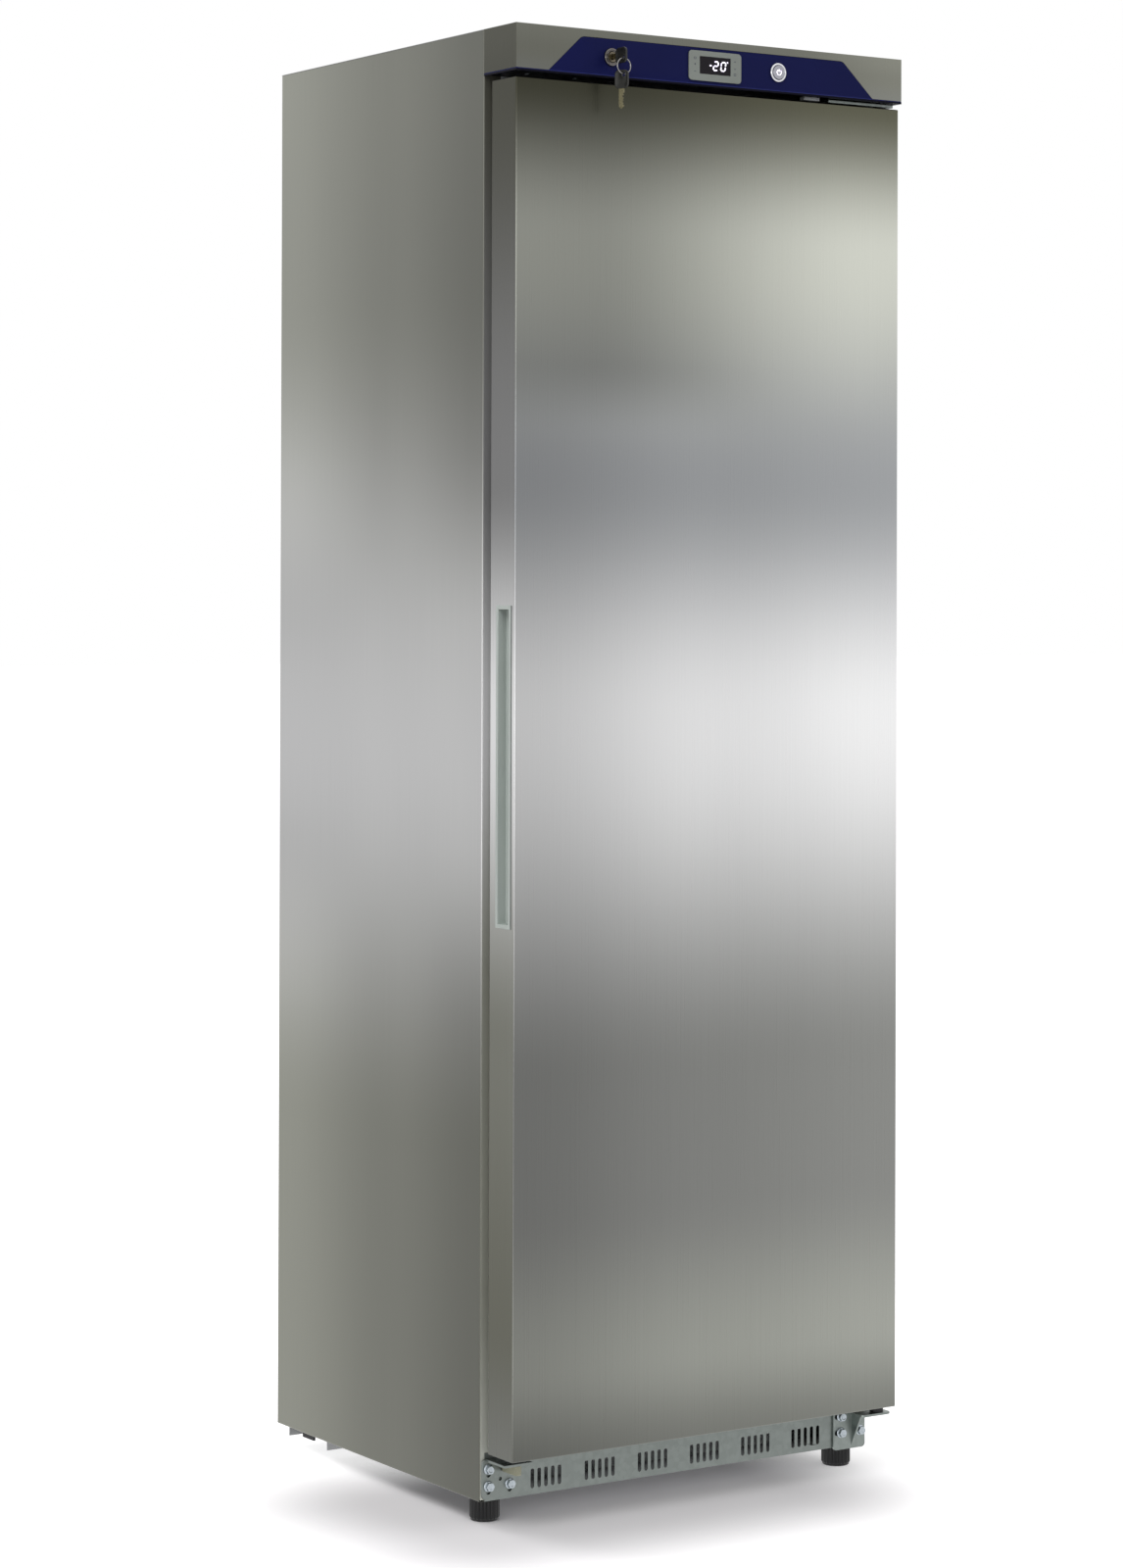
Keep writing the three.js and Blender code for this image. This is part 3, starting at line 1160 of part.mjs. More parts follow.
add("display_bezel", displayBezel(), PALE_GREY_PLASTIC);
add("display_screen", screen(GAP, 0), SCREEN);

function buttonBezel() {
  const seat = PANEL_PAD - GAP;
  const bore = BUTTON_CAP_RADIUS + GAP;
  const front = seat - BUTTON_RIM_HEIGHT;
  const back = seat + BUTTON_SLEEVE_LENGTH;
  const profile = [[bore, front], [bore, back], [BUTTON_SLEEVE_RADIUS, back], [BUTTON_SLEEVE_RADIUS, seat]];
  profile.push([BUTTON_RIM_RADIUS, seat], [BUTTON_RIM_RADIUS, front + CHAMFER]);
  profile.push([BUTTON_RIM_RADIUS - CHAMFER, front]);
  return turned("y", [BUTTON_X, 0, BUTTON_Z], profile.reverse());
}

function powerButton() {
  const front = PANEL_PAD - GAP - BUTTON_RIM_HEIGHT - BUTTON_CAP_PROUD;
  const profile = [[0, front], [BUTTON_CAP_RADIUS - CHAMFER, front], [BUTTON_CAP_RADIUS, front + CHAMFER]];
  profile.push([BUTTON_CAP_RADIUS, front + BUTTON_CAP_LENGTH], [0, front + BUTTON_CAP_LENGTH]);
  return turned("y", [BUTTON_X, 0, BUTTON_Z], profile);
}

add("button_bezel", buttonBezel(), CHROME);
add("power_button", powerButton(), CHROME);

function lockBarrel() {
  const bore = PLUG_RADIUS + PIN_PLAY;
  const seat = PANEL_PAD - GAP;
  const front = seat - LOCK_RIM_HEIGHT;
  const profile = [[LOCK_RIM_RADIUS - CHAMFER, front], [LOCK_RIM_RADIUS, front + CHAMFER]];
  profile.push([LOCK_RIM_RADIUS, seat], [LOCK_BODY_RADIUS, seat], [LOCK_BODY_RADIUS, LOCK_BACK]);
  profile.push([bore, LOCK_BACK], [bore, front]);
  return turned("y", [LOCK_X, 0, LOCK_Z], profile);
}

function keyway(grown) {
  const half = BLADE_THICKNESS / 2 + grown;
  const tall = BLADE_WIDTH / 2 + grown;
  return block(
    [LOCK_X - half, LOCK_X + half],
    [KEY_SHOULDER - PAST, KEY_SHOULDER + BLADE_LENGTH + grown],
    [LOCK_Z - tall, LOCK_Z + tall],
  );
}

function lockPlug() {
  const front = FASCIA_FRONT - LOCK_RIM_HEIGHT;
  const body = rod("y", [LOCK_X, 0, LOCK_Z], [front, LOCK_BACK], PLUG_RADIUS);
  const half = TAIL_SIZE / 2;
  const tailY = [LOCK_BACK - SINK, LOCK_BACK + TAIL_LENGTH];
  const tail = block([LOCK_X - half, LOCK_X + half], tailY, [LOCK_Z - half, LOCK_Z + half]);
  return cut(join(body, tail), keyway(GAP));
}

// At rest the cam lies level, pointing right; a quarter turn swings it down into the door's keeper.
function lockCam() {
  const armZ = [LOCK_Z - CAM_WIDTH / 2, LOCK_Z + CAM_WIDTH / 2];
  const arm = block([LOCK_X, LOCK_X + CAM_LENGTH], [CAM_FRONT, CAM_BACK], armZ);
  const hub = rod("y", [LOCK_X, 0, LOCK_Z], [CAM_FRONT, CAM_BACK], CAM_HUB_RADIUS);
  const half = TAIL_SIZE / 2 + GAP;
  const through = [CAM_FRONT - PAST, CAM_BACK + PAST];
  return cut(join(arm, hub), block([LOCK_X - half, LOCK_X + half], through, [LOCK_Z - half, LOCK_Z + half]));
}

// A key with its shoulder at y = 0, its blade along +Y and its head along -Y, in the YZ plane.
function key() {
  const half = KEY_HEAD_WIDTH / 2;
  const headShape = rectangle([-KEY_HEAD_LENGTH, 0], [-half, half], KEY_HEAD_CORNER);
  const head = pushed("x", headShape, [-KEY_THICKNESS / 2, KEY_THICKNESS / 2]);
  const tip = BLADE_WIDTH / 2;
  const bladeShape = outline([
    [-1, -tip],
    [BLADE_LENGTH - tip, -tip],
    [BLADE_LENGTH, 0],
    [BLADE_LENGTH - tip, tip],
    [-1, tip],
  ]);
  const blade = pushed("x", bladeShape, [-BLADE_THICKNESS / 2, BLADE_THICKNESS / 2]);
  const holeAt = [0, KEY_HOLE_END - KEY_HEAD_LENGTH, -KEY_HOLE_OFFSET];
  const hole = rod("x", holeAt, [-KEY_THICKNESS, KEY_THICKNESS], KEY_HOLE_RADIUS, SMALL_ROUND);
  return cut(join(head, blade), hole);
}

function spareKey() {
  const geometry = key();
  // Hung head up: the hole's upper edge rests on the ring's lowest point.
  geometry.translate(0, KEY_HEAD_LENGTH - KEY_HOLE_END, KEY_HOLE_OFFSET);
  geometry.rotateX(-Math.PI / 2);
  geometry.rotateZ(SPARE_ANGLE);
  const holeDrop = KEY_HOLE_RADIUS - RING_WIRE_RADIUS - GAP;
  return geometry.translate(LOCK_X, RING_Y, SPARE_PIVOT_Z - holeDrop);
}

function keyRing() {
  const geometry = new THREE.TorusGeometry(RING_RADIUS, RING_WIRE_RADIUS, 8, 28);
  return geometry.rotateX(Math.PI / 2).translate(LOCK_X, RING_Y, RING_CENTRE_Z);
}

add("lock_barrel", lockBarrel(), CHROME);
add("lock_plug", lockPlug(), BRASS);
add("lock_cam", lockCam(), ZINC);
add("key_inserted", key().translate(LOCK_X, KEY_SHOULDER, LOCK_Z), BLACK_PLASTIC);
add("key_ring", keyRing(), CHROME);
add("key_spare", spareKey(), BLACK_PLASTIC);

// ---------------------------------------------------------------- door

const gripFront = DOOR_FRONT + GRIP_FRONT_INSET;
const gripBack = gripFront + GRIP_FRAME_WIDTH;
const gripZ = [GRIP_CENTRE_Z - GRIP_FRAME_LENGTH / 2, GRIP_CENTRE_Z + GRIP_FRAME_LENGTH / 2];

// The grip's body inside the door, grown by a clearance.
function gripBody(grown) {
  return block(
    [-DOOR_X - SHEET, -DOOR_X + GRIP_DEEP + GRIP_WALL + grown],
    [gripFront + GRIP_WALL - grown, gripBack - GRIP_WALL + grown],
    [gripZ[0] + GRIP_WALL - grown, gripZ[1] - GRIP_WALL + grown],
  );
}

// The pocket is shallow at the back and deep at the front, where fingers hook behind its lip.
function gripPocket() {
  const mouth = -DOOR_X - GRIP_FRAME_PROUD - PAST;
  const profile = outline([
    [mouth, gripBack - GRIP_FRAME_LIP],
    [mouth, gripFront + GRIP_FRAME_LIP],
    [-DOOR_X, gripFront + GRIP_FRAME_LIP],
    [-DOOR_X + GRIP_DEEP, gripFront + GRIP_FRAME_LIP - GRIP_UNDERCUT + PAST],
    [-DOOR_X + GRIP_DEEP, gripFront + GRIP_FRAME_LIP + GRIP_FRAME_LIP],
    [-DOOR_X + GRIP_SHALLOW, gripBack - GRIP_FRAME_LIP],
  ]);
  return pushed("z", profile, [gripZ[0] + GRIP_FRAME_LIP, gripZ[1] - GRIP_FRAME_LIP]);
}

function gripMoulding() {
  const frame = block([-DOOR_X - GRIP_FRAME_PROUD, -DOOR_X - GAP], [gripFront, gripBack], gripZ);
  const outside = block([-DOOR_X - 2 * SHEET, -DOOR_X - GRIP_FRAME_PROUD / 2], [-HALF, HALF], [0, HEIGHT]);
  const neck = cut(gripBody(0), outside);
  return cut(join(frame, neck), gripPocket());
}

const keeperLow = LOCK_Z - CAM_SWEEP - KEEPER_PLAY;

function keeperBody(grown) {
  const outside = KEEPER_WALL + grown;
  const halfY = KEEPER_SLOT_WIDTH / 2 + outside;
  const [left, right] = camSpan(DOOR_TOP_Z);
  return block(
    [left - outside, right + outside],
    [CAM_MIDDLE - halfY, CAM_MIDDLE + halfY],
    [keeperLow - outside, DOOR_TOP_Z + GAP + KEEPER_FLANGE],
  );
}

function bushHole(at, [from, to]) {
  return rod("z", at, [from, to], BUSH_RADIUS + GAP, SMALL_ROUND);
}

const hingeAt = [AXIS_X, AXIS_Y, 0];
const bushDepth = HINGE_PIN_GRIP + BUSH_END;
const topBushHole = () => bushHole(hingeAt, [DOOR_TOP_Z - bushDepth - GAP, DOOR_TOP_Z + PAST]);
const bottomBushHole = () => bushHole(hingeAt, [DOOR_BOTTOM_Z - PAST, DOOR_BOTTOM_Z + bushDepth + GAP]);

function doorSkin() {
  const outside = block([-DOOR_X, DOOR_X], [DOOR_FRONT, DOOR_BACK], [DOOR_BOTTOM_Z, DOOR_TOP_Z]);
  const inX = DOOR_X - SHEET;
  const inZ = [DOOR_BOTTOM_Z + SHEET, DOOR_TOP_Z - SHEET];
  const inside = block([-inX, inX], [DOOR_FRONT + SHEET, DOOR_BACK - SHEET], inZ);
  const backX = DOOR_X - DOOR_RETURN;
  const backZ = [DOOR_BOTTOM_Z + DOOR_RETURN, DOOR_TOP_Z - DOOR_RETURN];
  const back = block([-backX, backX], [DOOR_BACK - 2 * SHEET, DOOR_BACK + PAST], backZ);
  return cut(outside, inside, back, gripBody(GAP), keeperBody(GAP), topBushHole(), bottomBushHole());
}

function doorFoam() {
  const z = [DOOR_BOTTOM_Z + SHEET + GAP, DOOR_TOP_Z - SHEET - GAP];
  const main = block([-DOOR_INNER_X, DOOR_INNER_X], [DOOR_FRONT + SHEET + GAP, DOOR_LINER_FRONT - GAP], z);
  const raisedX = DOOR_PANEL_X - LINER - GAP;
  const raisedZ = [DOOR_PANEL_LOW + LINER + GAP, DOOR_PANEL_HIGH - LINER - GAP];
  const raisedY = [DOOR_LINER_FRONT - SINK, DOOR_PANEL_REACH - LINER - GAP];
  const raised = block([-raisedX, raisedX], raisedY, raisedZ);
  return cut(join(main, raised), gripBody(GAP), keeperBody(GAP), topBushHole(), bottomBushHole());
}

function doorLiner() {
  const z = [DOOR_BOTTOM_Z + SHEET + GAP, DOOR_TOP_Z - SHEET - GAP];
  const plate = block([-DOOR_INNER_X, DOOR_INNER_X], [DOOR_LINER_FRONT, DOOR_LINER_REAR], z);
  const panelZ = [DOOR_PANEL_LOW, DOOR_PANEL_HIGH];
  const panel = block([-DOOR_PANEL_X, DOOR_PANEL_X], [DOOR_LINER_FRONT, DOOR_PANEL_REACH], panelZ);
  const hollowX = DOOR_PANEL_X - LINER;
  const hollowZ = [DOOR_PANEL_LOW + LINER, DOOR_PANEL_HIGH - LINER];
  const hollow = block([-hollowX, hollowX], [DOOR_LINER_FRONT - PAST, DOOR_PANEL_REACH - LINER], hollowZ);
  return cut(join(plate, panel), hollow);
}

function doorGasket() {
  const y = [DOOR_LINER_REAR + GAP, -GAP];
  const x = DOOR_X - GASKET_INSET;
  const z = [DOOR_BOTTOM_Z + GASKET_INSET, DOOR_TOP_Z - GASKET_INSET];
  const inX = x - GASKET_WIDTH;
  const inZ = [z[0] + GASKET_WIDTH, z[1] - GASKET_WIDTH];
  const inside = block([-inX, inX], [y[0] - PAST, y[1] + PAST], inZ);
  return cut(block([-x, x], y, z), inside);
}

// A bush that the pin enters from outside the door; up is 1 where the pin comes from above.
function doorBush(up) {
  const face = up > 0 ? DOOR_TOP_Z : DOOR_BOTTOM_Z;
  const flangeFar = up > 0 ? face + GAP + BUSH_FLANGE : BRACKET_TOP_Z + GAP;
  const seat = face + up * GAP;
  const end = face - up * bushDepth;
  const bottom = face - up * (HINGE_PIN_GRIP + GAP);
  const bore = HINGE_PIN_RADIUS + PIN_PLAY;
  const profile = [[0, end], [BUSH_RADIUS, end], [BUSH_RADIUS, seat], [BUSH_FLANGE_RADIUS, seat]];
  profile.push([BUSH_FLANGE_RADIUS, flangeFar], [bore, flangeFar], [bore, bottom], [0, bottom]);
  if (up > 0) profile.reverse();
  return turned("z", hingeAt, profile.reverse(), SMALL_ROUND);
}

function lockKeeper() {
  return cut(keeperBody(0), camSlot(DOOR_TOP_Z, [keeperLow, DOOR_TOP_Z + GAP + KEEPER_FLANGE + PAST]));
}

add("door_skin", doorSkin(), STAINLESS);
add("door_foam", doorFoam(), FOAM);
add("door_liner", doorLiner(), WHITE_PLASTIC);
add("door_gasket", doorGasket(), GASKET_RUBBER);
add("grip_moulding", gripMoulding(), GREY_PLASTIC);
add("door_bush_top", doorBush(1), BLACK_PLASTIC);
add("door_bush_bottom", doorBush(-1), BLACK_PLASTIC);
add("lock_keeper", lockKeeper(), BLACK_PLASTIC);

// ---------------------------------------------------------------- cooling machine

function compressor() {
  const low = COMPRESSOR_LOW;
  const top = COMPRESSOR_TOP;
  const seam = low + COMPRESSOR_HEIGHT * COMPRESSOR_SEAM;
  const shellAt = ([share, rise]) => [COMPRESSOR_HALF_X * share, low + COMPRESSOR_HEIGHT * rise];
  const seamAt = (share, side) => [COMPRESSOR_HALF_X * share, seam + side * COMPRESSOR_SEAM_HALF];
  const profile = [
    [0, low],
    ...LOWER_SHELL.map(shellAt),
    seamAt(SHELL_WALL, -1),
    seamAt(1, -1),
    seamAt(1, 1),
    seamAt(SHELL_WALL, 1),
    ...UPPER_SHELL.map(shellAt),
    [0, top],
  ];
  const shell = turned("z", [0, 0, 0], profile, WHEEL_ROUND);
  shell.scale(1, COMPRESSOR_HALF_Y / COMPRESSOR_HALF_X, 1).translate(COMPRESSOR_X, COMPRESSOR_Y, 0);
  const baseX = COMPRESSOR_BASE_X / 2;
  const baseY = COMPRESSOR_BASE_Y / 2;
  const base = block(
    [COMPRESSOR_X - baseX, COMPRESSOR_X + baseX],
    [COMPRESSOR_Y + baseY, COMPRESSOR_Y - baseY],
    [low, low + COMPRESSOR_BASE],
  );
  const feet = [];
  for (const sx of [-1, 1])
    for (const sy of [-1, 1]) {
      const at = [COMPRESSOR_X + sx * (baseX - COMPRESSOR_FOOT_RADIUS), 0, 0];
      at[1] = COMPRESSOR_Y + sy * (baseY - COMPRESSOR_FOOT_RADIUS);
      feet.push(rod("z", at, [TRAY_TOP_Z + GAP, low + SINK], COMPRESSOR_FOOT_RADIUS, SMALL_ROUND));
    }
  const stubs = [SUCTION_X, DISCHARGE_X].map((x) =>
    rod("z", [x, STUB_Y, 0], [seam, STUB_TOP_Z], SUCTION_RADIUS, TINY_ROUND),
  );
  const seat = block(
    [COMPRESSOR_X, RELAY_SEAT_X],
    [COMPRESSOR_Y - RELAY_SEAT / 2, COMPRESSOR_Y + RELAY_SEAT / 2],
    [RELAY_Z - RELAY_SEAT / 2, RELAY_Z + RELAY_SEAT / 2],
  );
  return join(shell, base, ...feet, ...stubs, seat);
}

add("compressor", compressor(), BLACK_PAINT);

const relayX = [RELAY_SEAT_X + GAP, RELAY_SEAT_X + GAP + RELAY_DEPTH];
const relayY = [COMPRESSOR_Y - RELAY_WIDTH / 2, COMPRESSOR_Y + RELAY_WIDTH / 2];
const relayZ = [RELAY_Z - RELAY_HEIGHT / 2, RELAY_Z + RELAY_HEIGHT / 2];
add("relay_box", block(relayX, relayY, relayZ), BLACK_PLASTIC);

function mainsGland() {
  const at = [(relayX[0] + relayX[1]) / 2, 0, RELAY_Z];
  const start = relayY[1] + GAP;
  const nut = rod("y", at, [start, start + GLAND_NUT], GLAND_NUT_RADIUS, HEXAGON);
  const neck = rod("y", at, [start, start + GLAND_LENGTH], GLAND_RADIUS, SMALL_ROUND);
  const bore = rod("y", at, [start + GLAND_NUT, start + GLAND_LENGTH + PAST], GLAND_RADIUS / 2, TINY_ROUND);
  return cut(join(nut, neck), bore);
}

add("mains_inlet_gland", mainsGland(), BLACK_PLASTIC);

// The hot pipe climbs beside the condenser, which then runs down the back in level passes.
function condenser() {
  const corners = [
    [CONDENSER_RISER_X, CONDENSER_Y, CONDENSER_END_Z],
    [CONDENSER_RISER_X, CONDENSER_Y, CONDENSER_TOP_Z],
  ];
  for (let run = 0; run < CONDENSER_RUNS; run += 1) {
    const z = CONDENSER_TOP_Z - run * CONDENSER_PITCH;
    const from = run % 2 === 0 ? CONDENSER_X : -CONDENSER_X;
    if (run > 0) corners.push([from, CONDENSER_Y, z]);
    corners.push([-from, CONDENSER_Y, z]);
  }
  // The last pass ends on the left when their number is odd, and turns back under itself when it is even.
  const last = corners[corners.length - 1];
  if (last[0] > 0) {
    corners.push([CONDENSER_X, CONDENSER_Y, CONDENSER_LOW_Z - CONDENSER_PITCH]);
    corners.push([-CONDENSER_X, CONDENSER_Y, CONDENSER_LOW_Z - CONDENSER_PITCH]);
  }
  corners.push([-CONDENSER_X, CONDENSER_Y, CONDENSER_END_Z]);
  const tube = pipe(corners, CONDENSER_TUBE_RADIUS, CONDENSER_BEND);
  const brackets = [];
  for (const side of [-1, 1])
    for (const run of [1, CONDENSER_RUNS - 2]) {
      const z = CONDENSER_TOP_Z - run * CONDENSER_PITCH;
      const x = side * CONDENSER_BRACKET_X;
      const halfX = CONDENSER_BRACKET_WIDTH / 2;
      const halfZ = CONDENSER_BRACKET_HEIGHT / 2;
      const depth = [BACK_PANEL_REAR + GAP, CONDENSER_Y];
      brackets.push(block([x - halfX, x + halfX], depth, [z - halfZ, z + halfZ]));
    }
  return join(tube, ...brackets);
}

add("condenser", condenser(), BLACK_PAINT);

function dischargeTube() {
  const corners = [
    [DISCHARGE_X, STUB_Y, STUB_TOP_Z + GAP],
    [DISCHARGE_X, STUB_Y, PIPE_LEVEL_Z],
    [CONDENSER_RISER_X, STUB_Y, PIPE_LEVEL_Z],
    [CONDENSER_RISER_X, CONDENSER_Y, PIPE_LEVEL_Z],
    [CONDENSER_RISER_X, CONDENSER_Y, CONDENSER_END_Z - GAP],
  ];
  return pipe(corners, CONDENSER_TUBE_RADIUS, PIPE_BEND, PIPE_SIDES);
}

function suctionTube() {
  const top = MACHINE_ROOF_Z + SHEET + SUCTION_IN_FOAM;
  return rod("z", [SUCTION_X, STUB_Y, 0], [STUB_TOP_Z + GAP, top], SUCTION_RADIUS, TINY_ROUND);
}

// The liquid pipe comes forward under the back panel and turns down into the drier.
function filterDrier() {
  const corners = [
    [DRIER_X, CONDENSER_Y, CONDENSER_END_Z - GAP],
    [DRIER_X, CONDENSER_Y, PIPE_LEVEL_Z],
    [DRIER_X, DRIER_Y, PIPE_LEVEL_Z],
    [DRIER_X, DRIER_Y, DRIER_TOP_Z - SINK],
  ];
  const line = pipe(corners, CONDENSER_TUBE_RADIUS, PIPE_BEND, PIPE_SIDES);
  const taper = DRIER_RADIUS;
  const bottom = DRIER_TOP_Z - DRIER_LENGTH;
  const at = [DRIER_X, DRIER_Y, 0];
  const neck = CONDENSER_TUBE_RADIUS + PAST;
  const profile = [[0, bottom], [neck, bottom], [DRIER_RADIUS, bottom + taper]];
  profile.push([DRIER_RADIUS, DRIER_TOP_Z - taper], [neck, DRIER_TOP_Z], [0, DRIER_TOP_Z]);
  const body = turned("z", at, profile, SMALL_ROUND);
  return join(line, body);
}

add("discharge_tube", dischargeTube(), COPPER);
add("suction_tube", suctionTube(), COPPER);
add("filter_drier", filterDrier(), COPPER);

// The origin lies on the floor, midway between the front-most and rear-most points.
machine.position.y = -(FRONT_MOST + REAR_MOST) / 2;

export default machine;
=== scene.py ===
"""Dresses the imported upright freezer: brushed steel, mouldings, coils, keys, and a studio to show it in."""

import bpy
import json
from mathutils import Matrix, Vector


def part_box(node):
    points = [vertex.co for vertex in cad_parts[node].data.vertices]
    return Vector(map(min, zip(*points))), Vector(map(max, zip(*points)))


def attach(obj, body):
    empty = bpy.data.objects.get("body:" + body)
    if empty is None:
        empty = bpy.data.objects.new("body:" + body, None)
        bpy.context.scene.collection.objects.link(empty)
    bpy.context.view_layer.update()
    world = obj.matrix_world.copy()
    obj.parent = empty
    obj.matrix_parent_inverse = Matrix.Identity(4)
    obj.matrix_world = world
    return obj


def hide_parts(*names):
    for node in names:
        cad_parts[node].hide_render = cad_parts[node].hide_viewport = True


bl_info = {
    "name": "Upright Freezer",
    "version": (1, 0, 0),
    "blender": (4, 5, 0),
    "location": "3D View > Sidebar > Freezer",
    "description": "Steel skins, fascia details, coils, keys and a studio for an upright freezer",
    "category": "Add Mesh",
}

import json
import math

import bmesh
import bpy
import numpy as np
from bpy.props import FloatProperty, FloatVectorProperty, IntProperty, PointerProperty
from mathutils import Matrix, Vector

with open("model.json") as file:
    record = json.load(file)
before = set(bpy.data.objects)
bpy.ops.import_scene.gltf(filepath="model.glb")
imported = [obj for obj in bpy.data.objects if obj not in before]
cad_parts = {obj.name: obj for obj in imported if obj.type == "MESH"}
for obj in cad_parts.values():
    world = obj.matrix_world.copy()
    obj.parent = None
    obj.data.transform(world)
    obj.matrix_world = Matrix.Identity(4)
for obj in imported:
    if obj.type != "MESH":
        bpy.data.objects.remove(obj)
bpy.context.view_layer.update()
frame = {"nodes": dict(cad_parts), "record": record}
CABINET_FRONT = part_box("top_panel")[0].y
MM = 0.001


def placed(x, y, z):
    """A place given in millimetres from the cabinet's front plane, in metres in the part's frame."""
    return np.array([x * MM, y * MM + CABINET_FRONT, z * MM])


# ------------------------------------------------------------------ surfaces


def grid_object(name, points, around=False, along=False, keep=None, flip=False,
                close_first=False, close_last=False):
    """A mesh over a grid of points: rows run along the path, columns across it.

    around joins the last column to the first, along joins the last row to the first, and keep says
    which cells become faces. close_first and close_last close the end rows with one flat face each.
    Points that fall together, as at a pole, are merged.
    """
    rows, columns = points.shape[:2]
    i = np.arange(rows if along else rows - 1)
    j = np.arange(columns if around else columns - 1)
    a, b = np.meshgrid(i, j, indexing="ij")
    c, d = (a + 1) % rows, (b + 1) % columns
    cells = np.stack([a * columns + b, a * columns + d, c * columns + d, c * columns + b], axis=-1)
    cells = cells if keep is None else cells[keep]
    cells = cells.reshape(-1, 4)
    faces = cells.tolist()
    if close_first:
        faces.append(list(range(columns))[::-1])
    if close_last:
        faces.append(list(range((rows - 1) * columns, rows * columns)))
    if flip:
        faces = [face[::-1] for face in faces]
    return mesh_object(name, points.reshape(-1, 3), faces)


def mesh_object(name, vertices, faces):
    """An object at the origin whose mesh holds these points and faces, with doubles merged."""
    mesh = bpy.data.meshes.new(name)
    mesh.from_pydata(np.asarray(vertices).tolist(), [], faces)
    work = bmesh.new()
    work.from_mesh(mesh)
    bmesh.ops.remove_doubles(work, verts=work.verts, dist=1e-6)
    bmesh.ops.dissolve_degenerate(work, edges=work.edges, dist=1e-7)
    work.to_mesh(mesh)
    work.free()
    piece = bpy.data.objects.new(name, mesh)
    bpy.context.scene.collection.objects.link(piece)
    return piece


def merged(name, parts):
    """One object from several, which go: their meshes are put end to end."""
    mesh = bpy.data.meshes.new(name)
    work = bmesh.new()
    for part in parts:
        work.from_mesh(part.data)
    work.to_mesh(mesh)
    work.free()
    for part in parts:
        bpy.data.objects.remove(part)
    piece = bpy.data.objects.new(name, mesh)
    bpy.context.scene.collection.objects.link(piece)
    return piece


def smooth(piece, angle=35.0):
    """Shades a piece smoothly, apart from edges sharper than the angle in degrees."""
    mesh = piece.data
    mesh.shade_smooth()
    mesh.set_sharp_from_angle(angle=math.radians(angle))
    return piece


def outward(piece):
    """Turns a closed piece's faces outwards."""
    work = bmesh.new()
    work.from_mesh(piece.data)
    bmesh.ops.recalc_face_normals(work, faces=work.faces)
    work.to_mesh(piece.data)
    work.free()
    return piece


def arc(centre, radius, start, end, steps):
    """Points of an arc about a centre, from one angle in degrees to another: centre + radius (cos, sin)."""
    turn = np.radians(np.linspace(start, end, steps + 1))
    return np.stack([centre[0] + radius * np.cos(turn), centre[1] + radius * np.sin(turn)], axis=1)


def rounded_path(corners, radius, steps=6):
    """A polyline whose inner corners are arcs: each arc leaves a corner by radius * tan(half the turn)."""
    corners = np.asarray(corners, float)
    stops = [corners[:1]]
    for before, corner, after in zip(corners[:-2], corners[1:-1], corners[2:]):
        a = (before - corner) / np.linalg.norm(before - corner)
        b = (after - corner) / np.linalg.norm(after - corner)
        half = math.acos(float(np.clip(np.dot(a, b), -1, 1))) / 2
        reach = radius / math.tan(half)
        middle = (a + b) / np.linalg.norm(a + b)
        centre = corner + middle * radius / math.sin(half)
        share = np.linspace(0, 1, steps + 1)[:, None]
        start, end = corner + a * reach - centre, corner + b * reach - centre
        sweep = math.pi - 2 * half
        sines = np.sin((1 - share) * sweep), np.sin(share * sweep)
        stops.append(centre + (sines[0] * start + sines[1] * end) / math.sin(sweep))
    stops.append(corners[-1:])
    return np.concatenate(stops)


def tube(name, path, radius, sides=12, reference=(0.62, 0.21, 0.76)):
    """A round bar along a path, with domed ends.

    Each ring is centre + radius (cos t * across + sin t * over), where across is the tangent crossed
    with a fixed direction that no stretch of the path follows, and over is square to both.
    """
    path = np.asarray(path, float)
    tangent = np.gradient(path, axis=0)
    tangent /= np.linalg.norm(tangent, axis=1)[:, None]
    across = np.cross(tangent, np.asarray(reference, float))
    across /= np.linalg.norm(across, axis=1)[:, None]
    over = np.cross(tangent, across)
    ends = np.array([0.0, 0.6, 0.9])
    size = np.concatenate([ends, np.ones(len(path)), ends[::-1]]) * radius
    lift = np.sqrt(1 - ends**2) * radius * 0.5
    first = path[0] - tangent[0] * lift[:, None] + tangent[0] * radius * 0.5
    last = path[-1] + tangent[-1] * lift[::-1][:, None] - tangent[-1] * radius * 0.5
    inner = path.copy()
    inner[0] += tangent[0] * radius * 0.5
    inner[-1] -= tangent[-1] * radius * 0.5
    centre = np.concatenate([first, inner, last])
    across = np.concatenate([np.repeat(across[:1], 3, 0), across, np.repeat(across[-1:], 3, 0)])
    over = np.concatenate([np.repeat(over[:1], 3, 0), over, np.repeat(over[-1:], 3, 0)])
    turn = np.arange(sides) * 2 * np.pi / sides
    ring = np.cos(turn)[None, :, None] * across[:, None] + np.sin(turn)[None, :, None] * over[:, None]
    points = centre[:, None] + size[:, None, None] * ring
    return outward(smooth(grid_object(name, points, around=True), 60))


